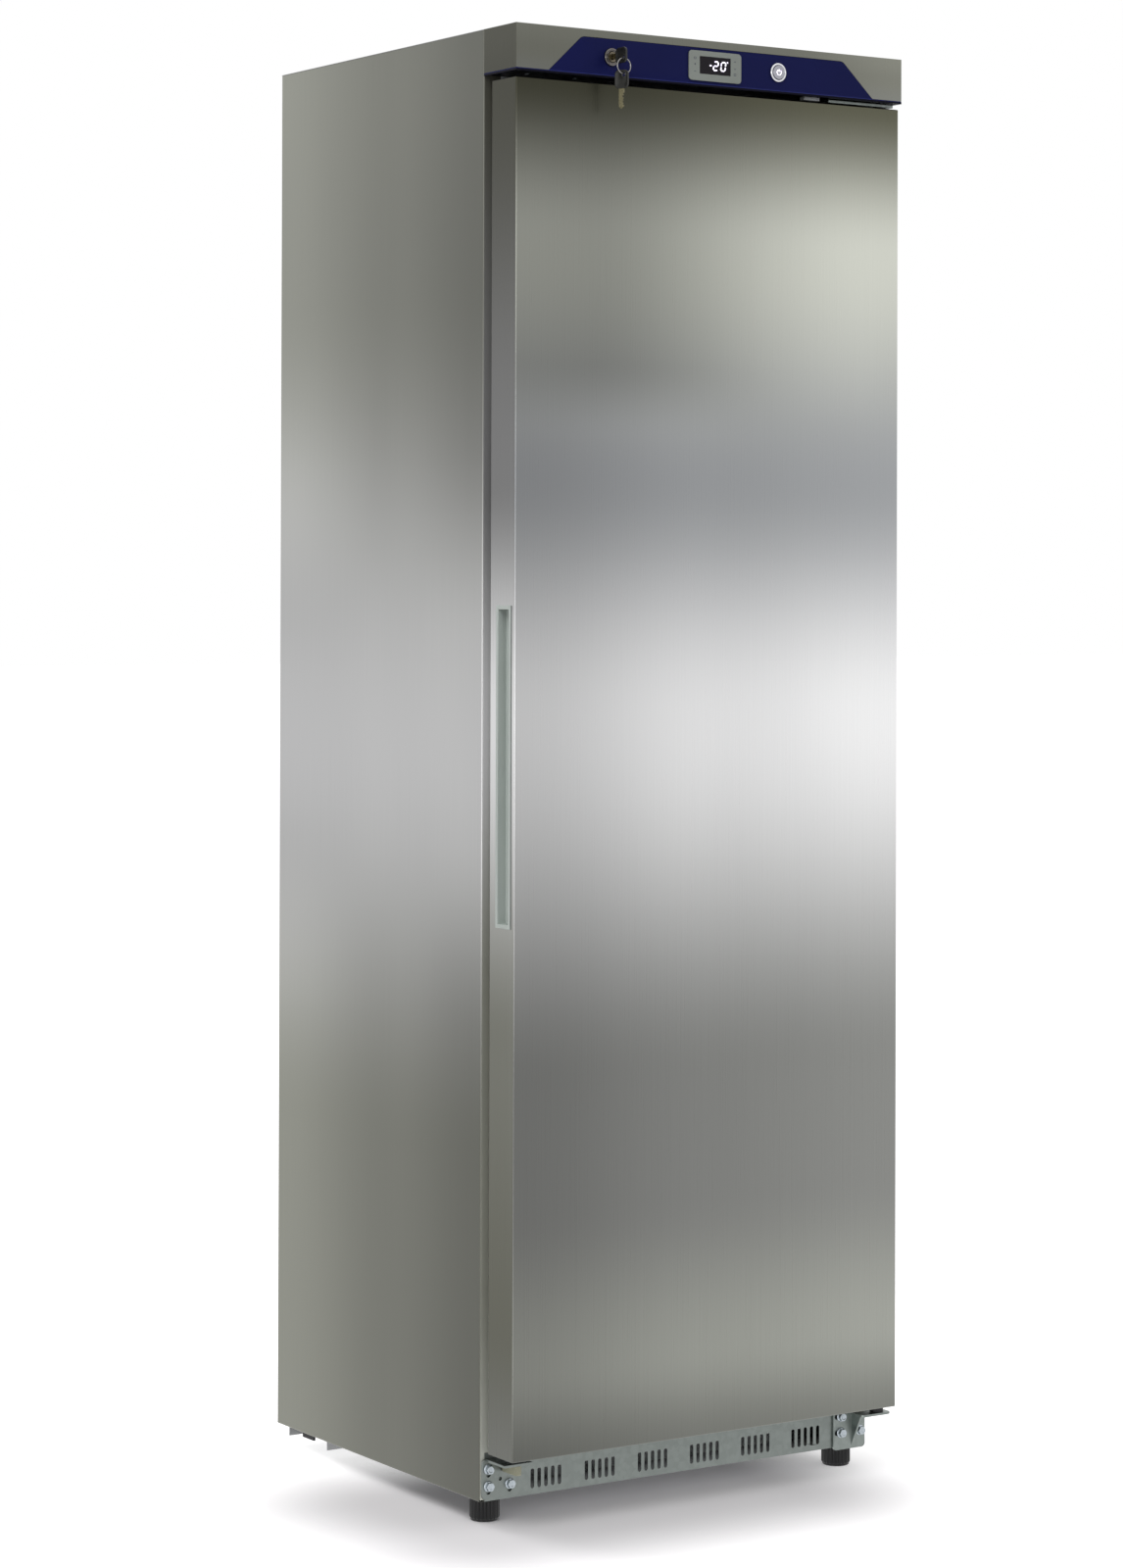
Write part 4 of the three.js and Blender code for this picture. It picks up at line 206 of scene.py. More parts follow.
class RoundFrame:
    """The way round a rectangle in X and Z with round corners, from the top left corner and down.

    The stops are places on the left and top sides where an opening starts or ends.
    """

    def __init__(self, low, high, radius, steps=5, stops_x=(), stops_z=()):
        (x0, z0), (x1, z1) = low, high
        corners = ((x0, z1, 1, -1), (x0, z0, 1, 1), (x1, z0, -1, 1), (x1, z1, -1, -1))
        centres, ways, inward = [], [], []
        for quarter, (x, z, to_x, to_z) in enumerate(corners):
            way = arc((0, 0), 1, 90 + 90 * quarter, 180 + 90 * quarter, steps)
            centres.append(np.array([(x + to_x * radius, z + to_z * radius)] * len(way)))
            ways.append(way)
            inward.append(np.array([(to_x, to_z)] * len(way)))
            stops = {0: sorted(stops_z, reverse=True), 3: sorted(stops_x, reverse=True)}.get(quarter, ())
            for stop in stops:
                centres.append(np.array([(x0 + radius, stop) if quarter == 0 else (stop, z1 - radius)]))
                ways.append(np.array([(-1.0, 0.0) if quarter == 0 else (0.0, 1.0)]))
                inward.append(np.array([(1, 0) if quarter == 0 else (0, -1)]))
        self.radius = radius
        self.centres = np.concatenate(centres).astype(float)
        self.ways = np.concatenate(ways).astype(float)
        self.inward = np.concatenate(inward).astype(float)

    def ring(self, offset):
        """The frame moved out by an offset: past its radius inwards, the corners stay square."""
        size = max(self.radius + offset, 0.0)
        return self.centres + size * self.ways + max(-self.radius - offset, 0.0) * self.inward

    def carried(self, profile):
        """The profile's (offset, depth) points carried round the frame, as rows of rings."""
        points = np.empty((len(profile), len(self.ways), 3))
        points[..., [0, 2]] = np.stack([self.ring(offset) for offset, depth in profile])
        points[..., 1] = np.array([depth for offset, depth in profile])[:, None]
        return points


def outline(low, high, radius, steps=5):
    """A rectangle with round corners, as centres and ways.

    Drawn in by d, a point is centre + (radius - d) * way.
    """
    low, high = np.asarray(low, float), np.asarray(high, float)
    signs = np.array([(1, 1), (-1, 1), (-1, -1), (1, -1)])
    turn = np.radians(90 * np.arange(4)[:, None] + np.linspace(0, 90, steps + 1))
    ways = np.stack([np.cos(turn), np.sin(turn)], axis=-1)
    centres = (low + high) / 2 + (signs * ((high - low) / 2 - radius))[:, None] + 0 * ways
    return centres.reshape(-1, 2), ways.reshape(-1, 2)


AXES = {"x": (1, 2, 0), "y": (2, 0, 1), "z": (0, 1, 2)}


def slab(name, low, high, thin, corner, ease, steps=5, angle=35.0):
    """A plate with round corners and eased edges.

    Its rings are a round rectangle, drawn in near both faces by ease * (1 - sin t) while the height moves
    by ease * (1 - cos t), and each end is closed by one flat face. thin is the axis through the plate.
    """
    low, high = np.array(low, float), np.array(high, float)
    first, second, along = AXES[thin]
    centres, ways = outline(low[[first, second]], high[[first, second]], corner, steps)
    quarter = np.radians(np.linspace(0, 90, 4))
    draw, rise = ease * (1 - np.sin(quarter)), ease * (1 - np.cos(quarter))
    inset = np.concatenate([draw, draw[::-1]])
    height = np.concatenate([low[along] + rise, high[along] - rise[::-1]])
    flat = centres + (corner - inset)[:, None, None] * ways
    points = np.empty((len(inset), len(ways), 3))
    points[..., first], points[..., second] = flat[..., 0], flat[..., 1]
    points[..., along] = height[:, None]
    piece = grid_object(name, points, around=True, close_first=True, close_last=True)
    return outward(smooth(piece, angle))


def turned(name, axis, centre, profile, sides=48, angle=35.0, along=False):
    """A turned piece: a profile's (radius, place) goes to centre + radius * (cos t, sin t), at that place.

    A radius may be an array with one number for each side, which gives ribs or flats.
    """
    first, second, third = AXES[axis]
    turn = np.arange(sides) * 2 * np.pi / sides
    radius = np.stack([np.broadcast_to(row[0], sides) for row in profile])
    height = np.stack([np.broadcast_to(row[1], sides) for row in profile])
    points = np.empty((len(profile), sides, 3))
    points[..., first] = centre[first] + radius * np.cos(turn)
    points[..., second] = centre[second] + radius * np.sin(turn)
    points[..., third] = height
    return outward(smooth(grid_object(name, points, around=True, along=along), angle))


def rods(name, starts, ends, radius, sides=6):
    """Straight wires: each ring is an end + radius * (cos t * across + sin t * over)."""
    starts, ends = np.asarray(starts, float), np.asarray(ends, float)
    way = (ends - starts) / np.linalg.norm(ends - starts, axis=1)[:, None]
    across = np.cross(way, (0.62, 0.21, 0.76))
    across /= np.linalg.norm(across, axis=1)[:, None]
    over = np.cross(way, across)
    turn = np.arange(sides) * 2 * np.pi / sides
    ring = radius * (np.cos(turn)[:, None] * across[:, None] + np.sin(turn)[:, None] * over[:, None])
    points = np.stack([starts[:, None] + ring, ends[:, None] + ring], axis=1)
    base = 2 * sides * np.arange(len(starts))[:, None]
    here = np.arange(sides)
    after = (here + 1) % sides
    walls = np.stack([base + here, base + after, base + sides + after, base + sides + here], axis=-1)
    caps = np.concatenate([base + here[::-1], base + sides + here])
    return smooth(mesh_object(name, points.reshape(-1, 3), walls.reshape(-1, 4).tolist() + caps.tolist()), 50)


def bars(name, ends, half, front, back, lean=0.0, level=0.0):
    """Flat bars with pointed ends that stand up from a face, all worked out at once.

    ends holds (x, z) pairs. A bar from p to q, with u along it and n across it, has the corners
    p, p + half (u - n), q - half (u + n), q, q - half (u - n) and p + half (u + n). Every x moves by
    lean * (z - level), which slants the bars.
    """
    ends = np.asarray(ends, float)
    start, end = ends[:, 0], ends[:, 1]
    u = (end - start) / np.linalg.norm(end - start, axis=1)[:, None]
    n = np.stack([-u[:, 1], u[:, 0]], axis=1)
    flat = np.stack([
        start, start + half * (u - n), end - half * (u + n),
        end, end - half * (u - n), start + half * (u + n),
    ], axis=1)
    flat[..., 0] += lean * (flat[..., 1] - level)
    points = np.empty((len(ends), 2, 6, 3))
    points[..., [0, 2]] = flat[:, None]
    points[..., 1] = np.array([front, back])[None, :, None]
    base = 12 * np.arange(len(ends))[:, None]
    here = np.arange(6)
    after = (here + 1) % 6
    walls = np.stack([base + here, base + after, base + 6 + after, base + 6 + here], axis=-1)
    caps = np.concatenate([base + here, base + 6 + here])
    piece = mesh_object(name, points.reshape(-1, 3), walls.reshape(-1, 4).tolist() + caps.tolist())
    return outward(piece)


def softened(node, name, width, segments=2, angle=40.0):
    """A copy of a CAD node with its flat faces joined up and its sharp edges rounded off."""
    piece = bpy.data.objects.new(name, frame["nodes"][node].data.copy())
    bpy.context.scene.collection.objects.link(piece)
    work = bmesh.new()
    work.from_mesh(piece.data)
    bmesh.ops.remove_doubles(work, verts=work.verts, dist=2e-6)
    bmesh.ops.dissolve_limit(work, angle_limit=math.radians(1.0), verts=work.verts, edges=work.edges)
    work.to_mesh(piece.data)
    work.free()
    bevel = piece.modifiers.new("Bevel", "BEVEL")
    bevel.width = width * MM
    bevel.segments = segments
    bevel.limit_method = "ANGLE"
    bevel.angle_limit = math.radians(angle)
    bevel.harden_normals = True
    return smooth(piece, angle)


def thickened(piece, thickness):
    """Gives a sheet its wall, grown inwards from the face that shows."""
    wall = piece.modifiers.new("Solidify", "SOLIDIFY")
    wall.thickness = thickness * MM
    wall.offset = -1.0
    wall.use_even_offset = True
    normals = piece.modifiers.new("Normals", "WEIGHTED_NORMAL")
    normals.keep_sharp = True
    return piece


# ------------------------------------------------------------------ finishes


def linear(red, green, blue):
    """A colour on the 0 to 255 scale of a screen as linear light, with full cover."""
    parts = np.array([red, green, blue]) / 255
    return (*np.where(parts <= 0.04045, parts / 12.92, ((parts + 0.055) / 1.055) ** 2.4).tolist(), 1.0)


SOCKETS = {
    "metallic": "Metallic", "roughness": "Roughness", "shine": "Specular IOR Level", "coat": "Coat Weight",
}


class Finish:
    """One material: a Principled shader, and the patterns on Object coordinates that feed it."""

    def __init__(self, name, **sockets):
        self.material = bpy.data.materials.new(name)
        self.material.use_nodes = True
        self.tree = self.material.node_tree
        self.shader = self.tree.nodes["Principled BSDF"]
        self.place = self.tree.nodes.new("ShaderNodeTexCoord").outputs["Object"]
        for socket, value in sockets.items():
            self.shader.inputs[SOCKETS[socket]].default_value = value

    def node(self, kind, **settings):
        made = self.tree.nodes.new("ShaderNode" + kind)
        for setting, value in settings.items():
            setattr(made, setting, value)
        return made

    def link(self, source, target):
        self.tree.links.new(source, target)

    def stretched(self, x, y, z):
        """The place, scaled by its own number along each axis."""
        made = self.node("Mapping")
        made.inputs["Scale"].default_value = (x, y, z)
        self.link(self.place, made.inputs["Vector"])
        return made.outputs["Vector"]

    def noise(self, scale, vector=None, detail=3.0, roughness=0.55):
        made = self.node("TexNoise")
        made.inputs["Scale"].default_value = scale
        made.inputs["Detail"].default_value = detail
        made.inputs["Roughness"].default_value = roughness
        self.link(vector or self.place, made.inputs["Vector"])
        return made.outputs["Fac"]

    def cells(self, scale):
        made = self.node("TexVoronoi")
        made.inputs["Scale"].default_value = scale
        self.link(self.place, made.inputs["Vector"])
        return made

    def axis(self, letter):
        made = self.node("SeparateXYZ")
        self.link(self.place, made.inputs[0])
        return made.outputs[letter]

    def spread(self, value, low, high, to_low, to_high, smooth_step=False):
        """A number carried from one range to another, held at the ends."""
        made = self.node("MapRange")
        if smooth_step:
            made.interpolation_type = "SMOOTHSTEP"
        self.link(value, made.inputs["Value"])
        for socket, number in zip(("From Min", "From Max", "To Min", "To Max"), (low, high, to_low, to_high)):
            made.inputs[socket].default_value = number
        return made.outputs["Result"]

    def ramp(self, value, stops, interpolation="EASE"):
        """A colour that goes through these (place, colour) stops."""
        made = self.node("ValToRGB")
        made.color_ramp.interpolation = interpolation
        points = made.color_ramp.elements
        points[0].position, points[0].color = stops[0]
        points[1].position, points[1].color = stops[-1]
        for place, colour in stops[1:-1]:
            points.new(place).color = colour
        self.link(value, made.inputs["Fac"])
        return made.outputs["Color"]

    def levels(self, letter, stops):
        """A colour that goes through these (place in mm, colour or factor) stops along an axis.

        A place along Y counts from the cabinet's front.
        """
        start = CABINET_FRONT if letter == "Y" else 0.0
        low, high = stops[0][0], stops[-1][0]
        share = self.spread(self.axis(letter), start + low * MM, start + high * MM, 0.0, 1.0)
        colours = [
            level if isinstance(level, tuple) else (level, level, level, 1.0) for place, level in stops
        ]
        places = [(place - low) / (high - low) for place, level in stops]
        return self.ramp(share, list(zip(places, colours)))

    def before(self, letter, place):
        """1 where an axis is before a place in mm, and 0 past it.

        A place along Y counts from the cabinet's front.
        """
        start = CABINET_FRONT if letter == "Y" else 0.0
        at = start + place * MM
        return self.spread(self.axis(letter), at - 0.05 * MM, at + 0.05 * MM, 1.0, 0.0)

    def times(self, first, second):
        made = self.node("Mix", data_type="RGBA", blend_type="MULTIPLY")
        made.inputs["Factor"].default_value = 1.0
        self.link(first, made.inputs[6])
        self.link(second, made.inputs[7])
        return made.outputs[2]

    def mixed(self, share, first, second):
        made = self.node("Mix", data_type="RGBA")
        self.link(share, made.inputs["Factor"])
        for socket, value in ((made.inputs[6], first), (made.inputs[7], second)):
            if isinstance(value, tuple):
                socket.default_value = value
            else:
                self.link(value, socket)
        return made.outputs[2]

    def colour(self, source):
        self.link(source, self.shader.inputs["Base Color"])

    def roughness(self, source):
        self.link(source, self.shader.inputs["Roughness"])

    def bump(self, height, strength, distance):
        made = self.node("Bump")
        made.inputs["Strength"].default_value = strength
        made.inputs["Distance"].default_value = distance * MM
        self.link(height, made.inputs["Height"])
        self.link(made.outputs["Normal"], self.shader.inputs["Normal"])


FINISHES = {}
DOOR_EDGE_PLACE = -297.35
SIDE_RETURN_PLACE = 0.2
COVER_RETURN_PLACE = -299.7
LIP_TOP = 1804.7
LIP_BOTTOM = 1803.95


def tone(grey, warmth=0.0):
    """A grey on the 0 to 255 scale, warmed towards olive or, below zero, cooled towards blue."""
    green = 1 + 0.014 * min(abs(warmth), 1.0)
    return linear(grey * (1 + 0.004 * warmth), grey * green, grey * (1 - 0.03 * warmth))


def brushed_steel(name, bands, shading=None, edge=None, grain=(900, 900, 4)):
    """Brushed stainless steel: soft level bands over the height, and a fine upright grain.

    The bands are painted, and stand in for a bright studio window that such steel would mirror.
    bands are (height in mm, tone, warmth) from the floor up. shading is an axis, two lists of (place in mm,
    factor) along it, and a list of (height in mm, share of the second list): a painted reflection that
    lightens or darkens the bands across the width. edge is an axis, a place in mm along it and the bands of
    the narrow face that lies before that place, which are painted reflections on that face.
    """
    steel = Finish(name, metallic=1.0, roughness=0.3)
    colour = steel.levels("Z", [(height, tone(grey, warmth)) for height, grey, warmth in bands])
    # painted reflection: the bands grow lighter or darker across the width
    if shading:
        letter, first, second, share = shading
        shades = steel.levels(letter, first), steel.levels(letter, second)
        colour = steel.times(colour, steel.mixed(steel.levels("Z", share), *shades))
    # painted reflections on the narrow face before the fold
    if edge:
        letter, place, bands = edge
        narrow = steel.levels("Z", [(height, tone(grey, warmth)) for height, grey, warmth in bands])
        colour = steel.mixed(steel.before(letter, place), colour, narrow)
    hair = steel.noise(1.0, steel.stretched(*grain), 4.0, 0.62)
    cloud = steel.noise(2.3, steel.stretched(1, 1, 0.5), 2.0)
    streak = steel.ramp(hair, [(0.3, (0.955, 0.955, 0.955, 1)), (0.7, (1, 1, 1, 1))], "LINEAR")
    patch = steel.ramp(cloud, [(0.3, (0.95, 0.95, 0.955, 1)), (0.7, (1, 1, 1, 1))])
    steel.colour(steel.times(steel.times(colour, streak), patch))
    steel.roughness(steel.spread(hair, 0.25, 0.75, 0.26, 0.34))
    steel.bump(hair, 0.1, 0.04)
    FINISHES[name] = steel.material
    return steel


def moulded(name, dark, light, roughness, grain=900.0, relief=0.08, **sockets):
    """Moulded plastic, rubber or paint: close tones in soft clouds, and a fine even texture."""
    made = Finish(name, **sockets)
    cloud = made.noise(14.0, detail=4.0)
    made.colour(made.mixed(cloud, dark, light))
    fine = made.noise(grain, detail=2.0)
    made.roughness(made.spread(fine, 0.3, 0.7, roughness - 0.05, roughness + 0.05))
    made.bump(fine, relief, 0.1)
    FINISHES[name] = made.material
    return made


def bare_metal(name, dark, light, roughness, grain=(60, 60, 60), relief=0.05):
    """Plated or drawn metal: tones that follow a stretched noise, and fine scratches."""
    made = Finish(name, metallic=1.0)
    streak = made.noise(10.0, made.stretched(*grain), 5.0)
    made.colour(made.mixed(streak, dark, light))
    made.roughness(made.spread(streak, 0.3, 0.7, roughness * 0.8, roughness * 1.25))
    made.bump(streak, relief, 0.05)
    FINISHES[name] = made.material
    return made


def spangled(name, dark, light, cloudy=0.94):
    """Galvanised sheet: crystals of close greys under soft clouds, with a dull sheen."""
    made = Finish(name, metallic=1.0)
    crystals = made.cells(150.0)
    grey = made.ramp(crystals.outputs["Color"], [(0.1, dark), (0.9, light)])
    cloud = made.ramp(made.noise(6.0), [(0.3, (cloudy, cloudy, cloudy, 1)), (0.7, (1, 1, 1, 1))])
    made.colour(made.times(grey, cloud))
    made.roughness(made.spread(crystals.outputs["Distance"], 0.0, 0.6, 0.34, 0.44))
    made.bump(crystals.outputs["Distance"], 0.03, 0.05)
    FINISHES[name] = made.material


def foamed():
    """Rigid foam: small cells under a pale cream skin."""
    made = Finish("foam_cells", roughness=0.85)
    pores = made.cells(420.0)
    skin = [(0.0, linear(206, 186, 132)), (0.6, linear(236, 222, 176))]
    made.colour(made.ramp(pores.outputs["Distance"], skin))
    made.bump(pores.outputs["Distance"], 0.4, 0.4)
    FINISHES["foam_cells"] = made.material


def make_finishes(look):
    """Every material of the freezer, by the name of what it covers."""
    # The steel's bands, edge bands and shading tables are painted reflections: the light and dark bands that
    # the studio would mirror in the steel.
    door_reflection_bands = [
        (80, 130, 1), (200, 165, 1), (400, 140, 0.5), (550, 140, 0.5), (1000, 240, 0), (1300, 160, -0.7),
        (1600, 205, 1.2), (1800, 90, 5),
    ]
    door_edge_reflections = [(80, 115, 1), (250, 100, 3), (600, 115, 2), (1000, 215, 0), (1300, 115, 0), (1800, 65, 4)]
    door_reflection_shading = (
        "X", [(-300, 0.6), (0, 0.85), (300, 1.0)], [(-200, 0.4), (260, 1.0)], [(1350, 0.0), (1450, 1.0)],
    )
    # The side panel's bands and shading are painted reflections.
    side_reflection_bands = [(30, 140, 1.8), (450, 140, 1.8), (950, 215, 0), (1550, 135, 1.5), (1860, 140, 1.6)]
    # The folded front return is painted brighter than the face, as painted light in the shaded gap behind the
    # door.
    side_return_painted_light = [
        (30, 220, 1), (300, 165, 2), (650, 160, 2), (1000, 225, 0), (1300, 140, 0), (1860, 80, 4),
    ]
    side_reflection_shading = (
        "Y", [(0, 0.5), (220, 0.7), (521, 1.05)], [(0, 0.7), (521, 0.7)],
        [(600, 0.0), (850, 1.0), (1100, 1.0), (1350, 0.0)],
    )
    brushed_steel("steel_door", door_reflection_bands, door_reflection_shading, ("X", DOOR_EDGE_PLACE, door_edge_reflections))
    side = brushed_steel("steel_side", side_reflection_bands, side_reflection_shading, ("Y", SIDE_RETURN_PLACE, side_return_painted_light))
    # On that return, metallic falls to 0.4 and roughness rises to 0.8, to carry its painted light.
    folded = side.before("Y", SIDE_RETURN_PLACE)
    side.link(side.spread(folded, 0.0, 1.0, 1.0, 0.4), side.shader.inputs["Metallic"])
    side.roughness(side.spread(folded, 0.0, 1.0, 0.3, 0.8))
    # The fascia cover's tables are painted reflections too: lighter to the right, darker on its left return.
    cover_reflection_across = [(-300, 0.92), (100, 1.0), (300, 1.45)]
    cover_reflection_shading = ("X", cover_reflection_across, cover_reflection_across, [(0, 0.0), (1860, 0.0)])
    cover_reflection_bands = [(1800, 108, 1), (1830, 106, 2), (1860, 112, 2)]
    cover_edge_reflections = [(1800, 72, 3), (1860, 78, 3)]
    brushed_steel("steel_edge", cover_reflection_bands, cover_reflection_shading, ("X", COVER_RETURN_PLACE, cover_edge_reflections))
    brushed_steel("steel_top", [(1800, 160, 0), (1861, 162, 0)], grain=(4, 900, 900))
    spangled("galvanised_sheet", tone(150, -0.4), tone(162, -0.4))
    spangled("plain_sheet", linear(128, 134, 131), linear(134, 140, 137), 0.97)
    spangled("bracket_sheet", linear(136, 143, 140), linear(144, 151, 148), 0.95)
    fascia_colours(look)
    moulded("grey_moulding", linear(168, 176, 171), linear(180, 188, 183), 0.42, shine=0.4)
    moulded("pale_moulding", linear(112, 117, 112), linear(124, 129, 124), 0.42, shine=0.25)
    # The lens is lifted to a pale tone as painted light, so that it shows in the shaded gap under the fascia.
    moulded("lens_plastic", linear(206, 210, 212), linear(222, 226, 228), 0.3)
    moulded("black_moulding", linear(22, 22, 24), linear(34, 34, 37), 0.5, 700.0, 0.15, shine=0.4)
    moulded("foot_black", linear(10, 10, 12), linear(16, 16, 18), 0.36, 700.0, 0.1, shine=0.3)
    moulded("key_grip", linear(24, 24, 22), linear(36, 36, 32), 0.42, 900.0, 0.1, shine=0.35)
    moulded("cream_moulding", linear(168, 168, 144), linear(182, 182, 158), 0.5, shine=0.3)
    moulded("white_moulding", linear(218, 221, 223), linear(228, 231, 233), 0.34, shine=0.4)
    moulded("rubber", linear(146, 148, 145), linear(160, 162, 158), 0.7, 500.0, 0.2)
    moulded("black_enamel", linear(20, 20, 22), linear(34, 34, 36), 0.38, 300.0, 0.12)
    moulded("white_enamel", linear(226, 228, 230), linear(240, 241, 242), 0.28, 300.0, 0.08)
    bare_metal("chrome_plate", linear(206, 206, 210), linear(232, 232, 235), 0.12)
    # The lock's chrome has a dark base and wide light streaks: a painted reflection of dark surroundings,
    # with painted highlights.
    bare_metal("chrome_painted_dark", linear(66, 62, 60), linear(134, 130, 128), 0.14)
    bare_metal("ring_steel", linear(104, 102, 102), linear(176, 174, 174), 0.18)
    bare_metal("brass_bare", linear(88, 82, 70), linear(124, 116, 102), 0.3)
    bare_metal("copper_bare", linear(176, 106, 70), linear(206, 134, 96), 0.28, (40, 40, 8))
    bare_metal("satin_cap", linear(150, 150, 158), linear(172, 172, 180), 0.3)
    bare_metal("zinc_plate", linear(168, 176, 182), linear(192, 200, 206), 0.34)
    bare_metal("key_brass", linear(84, 80, 60), linear(134, 128, 102), 0.28, (90, 20, 20))
    # The display's lit number and the button's mark; on the button the glow is also a painted glint.
    glowing("lit_marks_and_glint", linear(236, 226, 255), linear(255, 252, 255), 0.9)
    moulded("printed_marks", linear(58, 62, 70), linear(66, 72, 80), 0.5, shine=0.2)
    foamed()


def fascia_colours(look):
    """The moulding is navy, with a painted highlight on the lip below its face and painted shade on the
    underside below the lip; the window is a nearly black glass.
    """
    navy = linear(*[round(255 * part) for part in look.moulding])
    dark_navy = tuple(0.8 * part for part in navy[:3]) + (1.0,)
    blue = moulded("navy_moulding", dark_navy, navy, 0.4, 1400.0, 0.04, shine=0.05)
    plain = blue.shader.inputs["Base Color"].links[0].from_socket
    # a paler blue below the face's lower edge: a painted highlight on the lip
    with_lip_highlight = blue.mixed(blue.before("Z", LIP_TOP), plain, linear(44, 50, 108))
    # nearly black below the lip: painted shade on the underside
    blue.colour(blue.mixed(blue.before("Z", LIP_BOTTOM), with_lip_highlight, linear(10, 10, 22)))
    moulded("dark_glass", linear(12, 9, 15), linear(20, 15, 22), 0.12, 200.0, 0.01, shine=0.12, coat=0.05)


def glowing(name, dark, light, strength):
    """Lit marks and a painted glint: a pale tone in fine clouds, which also gives light."""
    lit = Finish(name, roughness=0.5)
    glow = lit.ramp(lit.noise(300.0), [(0.3, dark), (0.7, light)])
    lit.colour(glow)
    lit.link(glow, lit.shader.inputs["Emission Color"])
    lit.shader.inputs["Emission Strength"].default_value = strength
    FINISHES[name] = lit.material


NODE_FINISH = {
    "steel_side": ("side_panel_left", "side_panel_right"),
    "steel_top": ("top_panel",),
    "steel_edge": ("fascia_cover",),
    "steel_door": ("door_skin",),
    "galvanised_sheet": ("back_panel", "bottom_panel", "base_rail", "compressor_tray"),
    "plain_sheet": ("kick_panel", "stop_bracket"),
    "bracket_sheet": ("bottom_hinge", "top_hinge"),
    "foam_cells": ("cabinet_foam", "door_foam"),
    "white_moulding": ("inner_liner", "door_liner"),
    "black_moulding": (
        "roller_left", "roller_right", "roller_housing_left", "roller_housing_right",
        "relay_box", "mains_inlet_gland", "door_bush_top", "door_bush_bottom", "lock_keeper",
    ),
    "foot_black": ("foot_left", "foot_right"),
    "key_grip": ("key_inserted", "key_spare"),
    "zinc_plate": (
        "lock_cam", "bolt_left_1", "bolt_left_2", "bolt_left_3",
        "bolt_right_1", "bolt_right_2", "bolt_right_3",
    ),
    "white_enamel": tuple(f"evaporator_shelf_{shelf}" for shelf in range(1, 7)),
    "cream_moulding": ("rest_block",),
    "navy_moulding": ("fascia_panel",),
    "pale_moulding": ("display_bezel",),
    "dark_glass": ("display_screen",),
    "chrome_plate": ("button_bezel", "power_button"),
    "ring_steel": ("key_ring",),
    "chrome_painted_dark": ("lock_barrel",),
    "brass_bare": ("lock_plug",),
    "rubber": ("door_gasket",),
    "grey_moulding": ("grip_moulding",),
    "black_enamel": ("compressor", "condenser"),
    "copper_bare": ("discharge_tube", "suction_tube", "filter_drier"),
}
FINISH_OF = {node: finish for finish, nodes in NODE_FINISH.items() for node in nodes}
BODY_OF = {node: body for body, nodes in frame["record"]["behaviour"]["bodies"].items() for node in nodes}


def wear(piece, finish):
    """Gives a piece one finish in place of any it has."""
    piece.data.materials.clear()
    piece.data.materials.append(FINISHES[finish])
    return piece


def settle(piece, body, finish):
    """Finishes a piece, and rides it on a body."""
    wear(piece, finish)
    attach(piece, body)
    return piece


def stands_for(piece, node, finish=None):
    """Finishes a piece as the node that it stands for, rides it on that node's body, and hides the node."""
    settle(piece, BODY_OF[node], finish or FINISH_OF[node])
    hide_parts(node)
    return piece


def eased(node, width, segments=2):
    """Shows a CAD node with its edges rounded off."""
    return stands_for(softened(node, f"{node}_eased", width, segments), node)


# ------------------------------------------------------------------ sizes and colours a user may change


class FreezerSteel(bpy.types.PropertyGroup):
    edge_radius: FloatProperty(
        name="Edge radius", description="Radius of the folds in the door and the side panels",
        default=0.0022, min=0.001, max=0.004, unit="LENGTH",
    )
    sheet: FloatProperty(
        name="Sheet thickness", description="Thickness of the stainless sheet",
        default=0.001, min=0.0005, max=0.0015, unit="LENGTH",
    )


class FreezerColours(bpy.types.PropertyGroup):
    moulding: FloatVectorProperty(
        name="Fascia moulding", description="Colour of the fascia's moulding, as a screen shows it",
        default=(18 / 255, 22 / 255, 66 / 255), size=3, min=0.0, max=1.0, subtype="COLOR_GAMMA",
    )


class FreezerCoils(bpy.types.PropertyGroup):
    shelf_wires: IntProperty(
        name="Shelf wires", description="Cross wires on each evaporator shelf", default=26, min=6, max=40,
    )
    condenser_wires: IntProperty(
        name="Condenser wires", description="Upright wires on the condenser", default=44, min=10, max=70,
    )


class FreezerStage(bpy.types.PropertyGroup):
    fill: FloatProperty(
        name="Fill light", description="Level of the light from all round", default=0.5, min=0.1, max=1.5,
    )
    key: FloatProperty(
        name="Key light", description="Power of the soft light above",
        default=180.0, min=0.0, max=2000.0, unit="POWER",
    )


# ------------------------------------------------------------------ operators


class FREEZER_OT_finishes(bpy.types.Operator):
    """Gives every CAD node its own finish"""

    bl_idname = "freezer.finishes"
    bl_label = "Finishes"

    def execute(self, context):
        make_finishes(context.scene.freezer_colours)
        done = set()
        for finish, nodes in NODE_FINISH.items():
            for node in nodes:
                wear(frame["nodes"][node], finish)
                done.add(node)
        bare = sorted(set(frame["nodes"]) - done)
        if bare:
            raise RuntimeError(f"no finish for {bare}")
        return {"FINISHED"}


